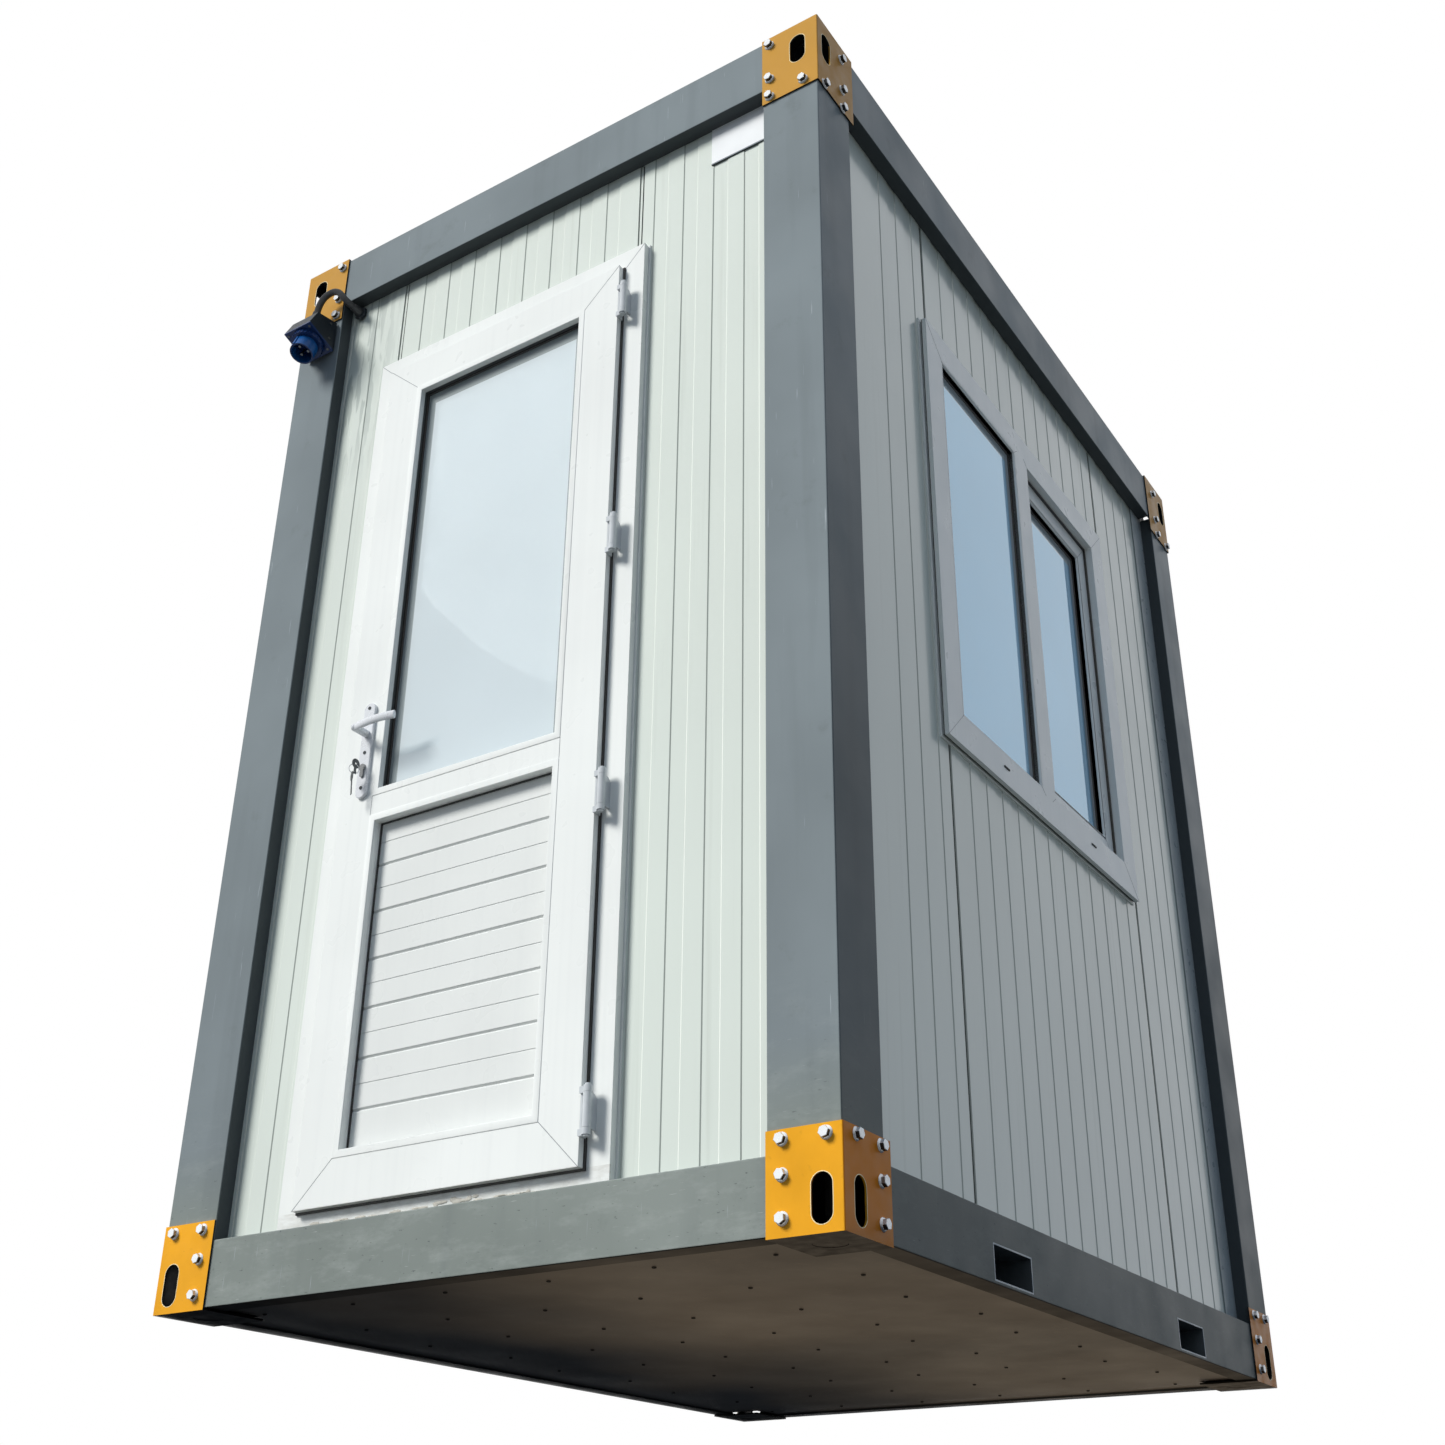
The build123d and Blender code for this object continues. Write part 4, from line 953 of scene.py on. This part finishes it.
class BOOTH_OT_cable(bpy.types.Operator):
    """Short cable from the wall to the inlet box, with its gland nuts and strain reliefs"""
    bl_idname = "booth.cable"
    bl_label = "Inlet cable"

    def curve(self, name, radii, start, end):
        """A curve on the cable's route, as thick as its radii say, between two shares of its length."""
        curve = bpy.data.curves.new(name, "CURVE")
        curve.dimensions = "3D"
        spline = curve.splines.new("NURBS")
        spline.points.add(len(CABLE_ROUTE) - 1)
        for point, place, radius in zip(spline.points, CABLE_ROUTE, radii):
            point.co = (*place, 1.0)
            point.radius = radius
        spline.order_u = 3
        spline.use_endpoint_u = True
        curve.resolution_u = 20
        curve.bevel_depth = sizes().cable_width / 2
        curve.bevel_resolution = 5
        curve.use_fill_caps = True
        curve.bevel_factor_mapping_start = "SPLINE"
        curve.bevel_factor_mapping_end = "SPLINE"
        curve.bevel_factor_start = start
        curve.bevel_factor_end = end
        piece = bpy.data.objects.new(name, curve)
        bpy.context.collection.objects.link(piece)
        return piece

    def execute(self, context):
        make_materials()
        cable = self.curve("booth_cable", (1.0, 1.0, 1.0, 1.0, 1.0), 0.0, 1.0)
        cable.data.materials.append(MATERIALS["sheath"])
        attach(cable, "booth")
        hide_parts("inlet_cable")
        for name, radii, start, end in (
            ("wall_sleeve", (1.50, 0.72, 1.0, 1.0, 1.0), 0.0, 0.11),
            ("box_sleeve", (1.0, 1.0, 1.0, 0.72, 1.50), 0.89, 1.0),
        ):
            only(self.curve(name, radii, start, end))
            bpy.ops.object.convert(target="MESH")
            finished(smooth(bpy.context.object), name, "sheath", "cable_rubber")
        nuts = [gland_nut(0.034, 0.008), gland_nut(0.032, 0.007)]
        nuts[0].data.transform(facing(Vector(CABLE_ROUTE[0]) - FORWARD * 0.011, FORWARD))
        nuts[1].data.transform(Matrix.Translation(Vector(CABLE_ROUTE[4]) - UPWARD * 0.0125))
        finished(joined(nuts), "gland_nuts", "box", "inlet_black")
        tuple(CABLE_ROUTE[0])
        return {"FINISHED"}


class BOOTH_OT_bolts(bpy.types.Operator):
    """Hexagon flange bolts, slot rims, dark webs of painted shade, plugs and caps of the eight corner fittings
    """
    bl_idname = "booth.bolts"
    bl_label = "Corner bolts"

    def rim(self):
        """The pale cut edge of a slot."""
        rim = hoop(SLOT_RADIUS + 0.0003, 0.0008)
        for vertex in rim.data.vertices:
            if abs(vertex.co.y) > 0.0015:
                vertex.co.y += math.copysign(SLOT_STRAIGHT, vertex.co.y)
            vertex.co.z *= 0.5
        return outward(rim)

    def execute(self, context):
        make_materials()
        bolts = copies(flange_bolt(), at_corners(BOTTOM_FRONT_BOLTS, BOTTOM_SIDE_BOLTS, 0.7))
        finished(bolts, "bottom_bolts", "bolt", "hinge_metal")
        bolts = copies(flange_bolt(), at_corners(TOP_FRONT_BOLTS, TOP_SIDE_BOLTS, 0.7))
        finished(bolts, "top_bolts", "bolt", "hinge_metal")
        rims = copies(self.rim(), at_corners(FRONT_SLOTS, SIDE_SLOTS))
        finished(smooth(rims, 60.0), "slot_rims", "cut_edge", "fitting_paint")
        webs = []
        holes = []
        for x_side, y_side in CORNERS:
            inward = Matrix.Rotation(math.atan2(-y_side, -x_side), 4, "Z")
            webs.append(Matrix.Translation((x_side * RIGHT, y_side * BACK, 0.0)) @ inward)
            holes.append(Matrix.Translation((x_side * (RIGHT - HOLE[0]), y_side * (BACK - HOLE[1]), 0.0)))
        # Dark webs inside each fitting: painted shade that closes the view through its slots
        web = softened(block((0.014, -0.0025, 0.009), (0.110, 0.0025, 0.135)), 0.0008, 1)
        finished(copies(web, webs), "corner_webs", "slot", "fitting_paint")
        for name, low, high, finish, slot in (
            ("hole_plugs", TOP - 0.0075, TOP - 0.0015, "box", "inlet_black"),
            ("under_caps", 0.0006, 0.0066, "fitting", "fitting_paint"),
        ):
            disc = rimmed(drum(32, HOLE_RADIUS, low, high), (low, high), 0.0008)
            finished(smooth(copies(disc, holes)), name, finish, slot)
        return {"FINISHED"}


class BOOTH_OT_door_trim(bpy.types.Operator):
    """Weld lines, glazing beads, gaskets and the seal of the door"""
    bl_idname = "booth.door_trim"
    bl_label = "Door trim"

    def rings(self, outer, grow, front, back, width, nose):
        """A ring on each side of the leaf: each side gives the face that shows and the one behind it."""
        return [ring(outer, grow, 1, shown, hidden, width, nose) for shown, hidden in (front, back)]

    def execute(self, context):
        make_materials()
        size = sizes()
        front, back = LEAF_LOW.y, LEAF_HIGH.y
        proud, deep, lip = 0.0012, 0.0135, 0.0016   # how far a bead lies before, behind and inside the reveal
        beads = []
        for opening in (GLASS, BOARDS):
            beads += self.rings(opening, size.bead_width - lip, (front - proud, front + deep),
                                (back + proud, back - deep), size.bead_width, 0.0010)
        finished(joined(beads), "door_beads", "plastic", "white_pvc", "door")
        near, far = PANE_LOW.y, PANE_HIGH.y
        gaskets = []
        for opening, width in ((GLASS, size.gasket_width), (BOARDS, size.gasket_width * 0.5)):
            gaskets += self.rings(opening, 0.0, (near - 0.0035, near + 0.0005), (far + 0.0035, far - 0.0005),
                                  width, 0.0014)
        finished(joined(gaskets), "door_gaskets", "rubber", "inlet_black", "door")
        lips = self.rings(GLASS, 0.0002, (near - 0.0240, near), (far + 0.0120, far), 0.0014, 0.0005)
        finished(joined(lips), "door_reveal_lips", "liner", "inlet_black", "door")

        def on_leaf(across, up):
            return across, LEAF_LOW.y, up

        def on_frame(across, up):
            return across, DOOR_LOW.y, up

        lines = mitres(LEAF, (GLASS[0], GLASS[1], BOARDS[2], GLASS[3]), on_leaf)
        cut = 0.014                                 # the short mitre at each end of the middle rail's joints
        for inner, out in ((GLASS[0], -cut), (GLASS[1], cut)):
            path = (on_leaf(inner, BOARDS[3]), on_leaf(inner + out, BOARDS[3] + cut),
                    on_leaf(inner + out, GLASS[2] - cut), on_leaf(inner, GLASS[2]))
            lines += zip(path, path[1:])
        finished(weld_lines(lines, FORWARD), "leaf_weld_lines", "weld", "white_pvc", "door")
        lines = mitres(DOOR, LEAF, on_frame, (3,))
        finished(weld_lines(lines, FORWARD), "door_frame_weld_lines", "weld", "white_pvc")
        seal = ring(LEAF, size.seal_proud, 1, LAP_BACK + 0.0001, DOOR_LOW.y - 0.0004, 0.012, 0.0012)
        finished(seal, "door_seal", "rubber", "inlet_black", "door")
        return {"FINISHED"}


class BOOTH_OT_door_hardware(bpy.types.Operator):
    """Screws of the handle plates, the keys and their ring"""
    bl_idname = "booth.door_hardware"
    bl_label = "Door hardware"

    def execute(self, context):
        make_materials()
        places = []
        for height in HANDLE_SCREWS:
            places.append(facing((HANDLE_X, PLATES_LOW.y, height), FORWARD, 0.4))
            places.append(facing((HANDLE_X, PLATES_HIGH.y, height), BACKWARD, 0.9))
        screws = copies(pan_screw(0.0085, 0.0016), places)
        finished(screws, "handle_plate_screws", "key", "lock_metal", "door")
        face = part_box("lock_cylinder")[0].y
        in_lock = moved(key(0.016), (("Y", 90.0), ("X", 90.0)), (HANDLE_X, face - 0.0185, LOCK_Z + 0.001))
        hanging = moved(key(0.037), (("X", 90.0), ("Z", -34.0), ("Y", -5.0)),
                        (HANDLE_X - 0.004, face - 0.0225, LOCK_Z - 0.031))
        finished(joined([in_lock, hanging]), "keys", "key", "lock_metal", "door")
        key_ring = moved(hoop(0.0115, 0.0009), (("X", 90.0), ("Z", 62.0)),
                         (HANDLE_X - 0.002, face - 0.0205, LOCK_Z - 0.0125))
        finished(smooth(outward(key_ring)), "key_ring", "zinc", "lock_metal", "door")
        return {"FINISHED"}


class BOOTH_OT_window_trim(bpy.types.Operator):
    """Beads, gaskets, lips, weld lines, drain slots and sealant of the window"""
    bl_idname = "booth.window_trim"
    bl_label = "Window trim"

    def rings(self, name, start, depth, width, grow, finish, slot):
        """One ring in each light, from a depth behind its face."""
        made = []
        for light, face in ((FIXED_LIGHT, WINDOW_HIGH.x), (SASH_LIGHT, SASH_FACE)):
            shown = face - start
            made.append(ring(light, grow, 0, shown, shown - depth, width, min(depth, width) * 0.3))
        finished(joined(made), name, finish, slot)

    def weld_lines(self):
        """Mitres at the corners of the frame and the sash, and the mullion's joints."""
        def on_frame(across, up):
            return WINDOW_HIGH.x, across, up

        def on_sash(across, up):
            return SASH_FACE, across, up

        lines = mitres(WINDOW, WINDOW_OPENING, on_frame)
        middle = sum(MULLION) / 2
        for z, reach in ((WINDOW_OPENING[2], -0.016), (WINDOW_OPENING[3], 0.016)):
            for side in MULLION:
                lines.append((on_frame(side, z), on_frame((side + middle) / 2, z + reach)))
        return weld_lines(lines + mitres(SASH, SASH_LIGHT, on_sash), RIGHTWARD)

    def drains(self):
        """The mouths of the drain slots in the bottom member, as long dark strips with rounded edges: painted
        shade in each slot.
        """
        made = []
        half = sizes().drain_length / 2
        face = WINDOW_HIGH.x
        for y, z in ((-0.296, 1.193), (0.224, 1.197)):
            mouth = block((face - 0.0005, y - half, z - 0.0024), (face + 0.0004, y + half, z + 0.0024))
            made.append(softened(mouth, 0.0021, 4))
        return joined(made)

    def execute(self, context):
        make_materials()
        self.rings("window_beads", 0.0, 0.016, 0.009, 0.0078, "plastic", "white_pvc")
        self.rings("window_gaskets", 0.015, 0.0035, sizes().gasket_width, -0.0011, "rubber", "inlet_black")
        self.rings("window_reveal_lips", 0.0055, 0.0125, 0.0014, 0.0002, "liner", "inlet_black")
        beside_mullion = (MULLION[1], *WINDOW_OPENING[1:])
        seal = ring(beside_mullion, 0.0002, 0, SASH_FACE + 0.0060, SASH_FACE - 0.0005, 0.0050, 0.0015)
        finished(seal, "window_brush_seal", "rubber", "inlet_black")
        finished(self.weld_lines(), "window_weld_lines", "weld", "white_pvc")
        finished(self.drains(), "window_drain_slots", "slot", "inlet_black")
        # A dark ring in the frame's side stands for its groove: painted shade
        groove = WINDOW_HIGH.x - 0.0105
        finished(ring(WINDOW, 0.0004, 0, groove, groove - 0.0018, 0.002, 0.0002), "window_side_groove",
                 "slot", "inlet_black")
        width = sizes().sealant_width
        bead = ring(WINDOW, width, 0, WALL_FACE_X + 0.004, WALL_FACE_X - 0.002, width + 0.002, 0.0018)
        finished(bead, "window_sealant", "sealant", "white_pvc")
        return {"FINISHED"}


class BOOTH_OT_inlet_details(bpy.types.Operator):
    """Screws on the inlet's flange and box, ribs on its collar, and its key rib"""
    bl_idname = "booth.inlet_details"
    bl_label = "Inlet details"

    def execute(self, context):
        make_materials()
        along = INLET_WAY.cross(RIGHTWARD)
        screws = []
        for x, y in CORNERS:
            corner = RIGHTWARD * (0.038 * x) + along * (0.038 * y)
            screws.append(facing(INLET_SEAT + corner + INLET_WAY * 0.006, INLET_WAY, 0.3))
        for z in (2.512, 2.562):
            screws.append(facing((INLET_HIGH.x, FRONT - 0.020, z), RIGHTWARD, 0.6))
            screws.append(facing((INLET_LOW.x, FRONT - 0.020, z), -RIGHTWARD, 0.6))
        finished(copies(pan_screw(0.0070, 0.0020), screws), "inlet_screws", "key", "hinge_metal")
        rib = softened(block((0.0415, -0.0016, 0.008), (0.0436, 0.0016, 0.0195)), 0.0006, 1)
        places = [facing(INLET_SEAT, INLET_WAY, math.tau * step / 28) for step in range(28)]
        finished(copies(rib, places), "inlet_collar_ribs", "socket", "inlet_blue")
        key_rib = softened(block((-0.0035, 0.0314, 0.024), (0.0035, 0.0345, 0.057)), 0.0009, 2)
        finished(copies(key_rib, places[:1]), "inlet_key_rib", "socket", "inlet_blue")
        return {"FINISHED"}


class BOOTH_OT_fasteners(bpy.types.Operator):
    """Screws under the floor and on the roof"""
    bl_idname = "booth.fasteners"
    bl_label = "Sheet fasteners"

    def execute(self, context):
        make_materials()
        places = []
        for row in range(9):
            for column in range(6):
                x = -0.62 + 0.248 * column + (0.02 if row % 2 else -0.02)
                y = -1.0 + 0.25 * row + 0.011 * math.sin(3.0 * column + row)
                places.append(facing((x, y, SHEET_UNDERSIDE), -UPWARD, 0.5))
        screws = copies(pan_screw(sizes().screw_head, 0.0022), places)
        finished(screws, "underside_screws", "sheath", "underside_paint")
        places = [facing((x, y, ROOF_TOP), UPWARD, 0.3)
                  for x in (-0.615, -0.205, 0.205, 0.615) for y in (-0.95, -0.32, 0.32, 0.95)]
        finished(copies(washer_screw(), places), "roof_screws", "zinc", "hinge_metal")
        return {"FINISHED"}


class BOOTH_OT_panel_joints(bpy.types.Operator):
    """Dark joints where two wall panels meet, with the thin shadow line beside each"""
    bl_idname = "booth.panel_joints"
    bl_label = "Panel joints"

    def execute(self, context):
        make_materials()
        low, high = DOOR_LOW.z, PLATE_HIGH.z
        x, y = WALL_FACE_X - 0.003, WALL_FACE_Y + 0.003     # the bottom of a seam's groove
        joint = 0.5551
        seams = [
            (DOOR_LOW.x + 0.035, y, DOOR_HIGH.z, high, FORWARD),
            (DOOR_HIGH.x - 0.030, y, DOOR_HIGH.z, high, FORWARD),
            (0.0, -y, low, high, BACKWARD),
            (x, -joint, low, WINDOW_LOW.z, RIGHTWARD),
            (x, -joint, WINDOW_HIGH.z, high, RIGHTWARD),
            (x, joint, low, high, RIGHTWARD),
            (-x, -joint, low, high, -RIGHTWARD),
            (-x, joint, low, high, -RIGHTWARD),
        ]
        lines = []
        for across, along, start, end, way in seams:
            for offset, width in ((0.0035, 0.0044), (-0.0062, 0.0022)):
                foot = Vector((across, along, 0.0)) + UPWARD.cross(way) * offset
                lines.append(weld_line(foot + UPWARD * start, foot + UPWARD * end, way, width))
        finished(joined(lines), "panel_joints", "slot", "inlet_black")
        return {"FINISHED"}


class BOOTH_OT_sealant(bpy.types.Operator):
    """Sealant round the door frame, remains on the sill, and the dark edge under the bare plate"""
    bl_idname = "booth.sealant"
    bl_label = "Sealant and remains"

    def sealant(self):
        """A bead down each side of the door frame and over it."""
        width = sizes().sealant_width
        left, right, low, high = DOOR
        beads = []
        for x0, x1, z0, z1 in (
            (left - width, left + 0.001, low, high),
            (right - 0.001, right + width, low, high),
            (left - width, right + width, high - 0.001, high + width),
        ):
            bead = block((x0, WALL_FACE_Y - 0.004, z0), (x1, WALL_FACE_Y + 0.003, z1))
            beads.append(softened(bead, 0.0018, 3, lambda middle: middle.y < WALL_FACE_Y))
        return joined(beads)

    def remains(self):
        """Thin, uneven smears along the sill, thicker where the wall was torn."""
        dabs = []
        x = -0.40
        step = 0
        while x < 0.20:
            wide = 0.010 + 0.006 * math.sin(1.7 * step) + 0.003 * math.cos(4.1 * step)
            torn = -0.105 < x < 0.02
            high = (0.0042 if torn else 0.0022) + 0.0012 * math.cos(2.9 * step)
            up = (0.0095 if torn else 0.0035) + 0.0024 * math.cos(1.3 * step)
            dab = started(bpy.ops.mesh.primitive_ico_sphere_add, subdivisions=3, radius=1.0)
            applied(dab, scale=(wide, 0.0016, high), location=(x, DOOR_LOW.y - 0.0002, DOOR_LOW.z + up))
            for vertex in dab.data.vertices:
                lump = math.sin(700.0 * vertex.co.x + step) * math.cos(1300.0 * vertex.co.z + 2.0 * step)
                vertex.co.y -= 0.0003 * lump
                vertex.co.z += 0.0009 * lump
            dabs.append(smooth(dab))
            x += wide * (1.35 + 0.8 * math.sin(2.3 * step))
            step += 1
        return joined(dabs)

    def execute(self, context):
        make_materials()
        finished(self.sealant(), "door_sealant", "sealant", "white_pvc")
        finished(self.remains(), "sill_remains", "mortar", "white_pvc")
        top = (PLATE_HIGH.x, PLATE_HIGH.y, PLATE_LOW.z + 0.0006)
        edge = block(PLATE_LOW - Vector((0.0, 0.0012, 0.004)), top)
        finished(softened(edge, 0.0005, 1), "bare_plate_edge", "steel", "flashing_grey")
        return {"FINISHED"}


class BOOTH_OT_finishes(bpy.types.Operator):
    """The finishes of the frame's own pieces"""
    bl_idname = "booth.finishes"
    bl_label = "Finishes"

    def execute(self, context):
        make_materials()
        for name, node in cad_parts.items():
            if name == "inlet_cable":
                continue
            found = [finish for finish, starts in NODE_FINISHES.items() if name.startswith(starts)]
            if len(found) != 1:
                raise RuntimeError("%s has %d finishes" % (name, len(found)))
            if not node.material_slots:
                node.data.materials.append(None)
            for holder in node.material_slots:
                holder.material = MATERIALS[found[0]]
        return {"FINISHED"}


class BOOTH_OT_stage(bpy.types.Operator):
    """Plain pale floor that can be seen through from below, soft sun and studio world"""
    bl_idname = "booth.stage"
    bl_label = "Stage"

    def seen(self, tree):
        """One for rays that show the background: to the camera, in a reflection or through glass."""
        rays = add(tree, "LightPath", give=("Is Camera Ray", "Is Glossy Ray", "Is Transmission Ray"))
        either = add(tree, "Math", rays[:2], operation="MAXIMUM")
        return add(tree, "Math", (either, rays[2]), operation="MAXIMUM")

    def plane(self, height):
        """A level plane as large as the booth's footprint."""
        piece = started(bpy.ops.mesh.primitive_plane_add, size=1.0, location=(0.0, 0.0, height))
        return applied(piece, scale=(RIGHT - LEFT, BACK - FRONT, 1.0))

    def set_down(self, piece, name, surface):
        """Name a plane, make it clear from below and of a surface from above, and give it to the stage."""
        material = bpy.data.materials.new(name)
        tree = emptied(material)
        below = add(tree, "NewGeometry", give="Backfacing")
        mixed = add(tree, "MixShader", (below, surface(tree), add(tree, "BsdfTransparent")))
        add(tree, "OutputMaterial", {"Surface": mixed})
        piece.name = name
        piece.data.materials.append(material)

    def floor(self):
        """A wide floor with a hole under the booth."""
        piece = self.plane(0.0)
        edit(piece)
        choose(piece, "EDGE", lambda middle, part: True)
        bpy.ops.mesh.extrude_edges_move()
        bpy.ops.transform.resize(value=(20.0, 20.0, 1.0), center_override=(0.0, 0.0, 0.0))
        choose(piece, "FACE", lambda middle, part: part.calc_area() < 10.0)
        bpy.ops.mesh.delete(type="FACE")
        bpy.ops.mesh.select_all(action="SELECT")
        bpy.ops.mesh.normals_make_consistent(inside=False)
        mesh = bmesh.from_edit_mesh(piece.data)
        mesh.faces.ensure_lookup_table()
        if mesh.faces[0].normal.z < 0.0:
            bpy.ops.mesh.flip_normals()
        done()

        def surface(tree):
            return add(tree, "BsdfDiffuse", {"Color": coats(tree, "#6c6c6a", (self.seen(tree), "#dcdcda"))})

        self.set_down(piece, "studio_floor", surface)

    def shaded_ground(self):
        """A glowing plane right under the booth: a painted reflection for its underside, dark to the left and
        browner to the right, and a painted shadow, near black, to the eye.
        """
        piece = self.plane(-0.002)
        edit(piece)
        bpy.ops.mesh.select_all(action="SELECT")
        bpy.ops.mesh.subdivide(number_cuts=3)
        done()

        def surface(tree):
            place = add(tree, "TexCoord", give="Object")
            cloud = clouds(tree, place, 1.1, 2.0, spread=(0.3, 0.7, -0.22, 0.22))
            across = add(tree, "SeparateXYZ", (place,), "X")
            share = add(tree, "Math", (across, cloud), operation="ADD")
            # A painted reflection, dark to the left and browner to the right; near black to the eye, a painted
            # shadow
            shade = coats(tree, "#2c2f33", (add(tree, "MapRange", (share, -0.55, 0.30)), "#8f8271"),
                          (add(tree, "LightPath", give="Is Camera Ray"), "#141415"))
            return add(tree, "Emission", {"Color": shade})

        self.set_down(piece, "shaded_ground", surface)

    def world(self, scene):
        """White behind the booth; for its light, bright above and dim below."""
        scene.world = bpy.data.worlds.new("studio_world")
        tree = emptied(scene.world)
        height = add(tree, "SeparateXYZ", (add(tree, "TexCoord", give="Generated"),), "Z")
        sky = coats(tree, "#94a2b3", (add(tree, "MapRange", (height, 0.0, 1.0)), "#94a6bb"))
        light = coats(tree, "#5c5c5e", (add(tree, "MapRange", (height, -0.03, 0.03)), sky))
        shade = coats(tree, light, (self.seen(tree), "#ffffff"))
        add(tree, "OutputWorld", {"Surface": add(tree, "Background", {"Color": shade, "Strength": 1.0})})

    def execute(self, context):
        self.floor()
        self.shaded_ground()
        self.world(context.scene)
        lamp = bpy.data.lights.new("soft_sun", "SUN")
        lamp.energy = 4.4
        lamp.angle = math.radians(20.0)
        lamp.color = (1.0, 0.975, 0.93)
        sun = bpy.data.objects.new("soft_sun", lamp)
        context.collection.objects.link(sun)
        sun.visible_glossy = False
        sun.rotation_euler = Vector((0.55, 0.75, -0.75)).to_track_quat("-Z", "Y").to_euler()
        context.scene.view_settings.view_transform = "Standard"
        return {"FINISHED"}


OPERATORS = (
    BOOTH_OT_camera, BOOTH_OT_cable, BOOTH_OT_bolts, BOOTH_OT_door_trim, BOOTH_OT_door_hardware,
    BOOTH_OT_window_trim, BOOTH_OT_inlet_details, BOOTH_OT_fasteners, BOOTH_OT_panel_joints,
    BOOTH_OT_sealant, BOOTH_OT_finishes, BOOTH_OT_stage,
)


class BOOTH_PT_pieces(bpy.types.Panel):
    """The booth's pieces, sizes and colours"""
    bl_idname = "BOOTH_PT_pieces"
    bl_label = "Guard booth"
    bl_space_type = "VIEW_3D"
    bl_region_type = "UI"
    bl_category = "Booth"

    def draw(self, context):
        for group in (context.scene.booth_sizes, context.scene.booth_colours):
            column = self.layout.column(align=True)
            for name in group.__annotations__:
                column.prop(group, name)
        column = self.layout.column(align=True)
        for operator in OPERATORS:
            column.operator(operator.bl_idname)


CLASSES = (BoothSizes, BoothColours, *OPERATORS, BOOTH_PT_pieces)


def register():
    """Add the classes and the scene's settings."""
    for kind in CLASSES:
        bpy.utils.register_class(kind)
    bpy.types.Scene.booth_sizes = bpy.props.PointerProperty(type=BoothSizes)
    bpy.types.Scene.booth_colours = bpy.props.PointerProperty(type=BoothColours)


def unregister():
    """Take them away again."""
    del bpy.types.Scene.booth_colours
    del bpy.types.Scene.booth_sizes
    for kind in reversed(CLASSES):
        bpy.utils.unregister_class(kind)


def main():
    """Make every piece in order."""
    register()
    for operator in OPERATORS:
        group, name = operator.bl_idname.split(".")
        getattr(getattr(bpy.ops, group), name)()


if __name__ == "__main__":
    main()
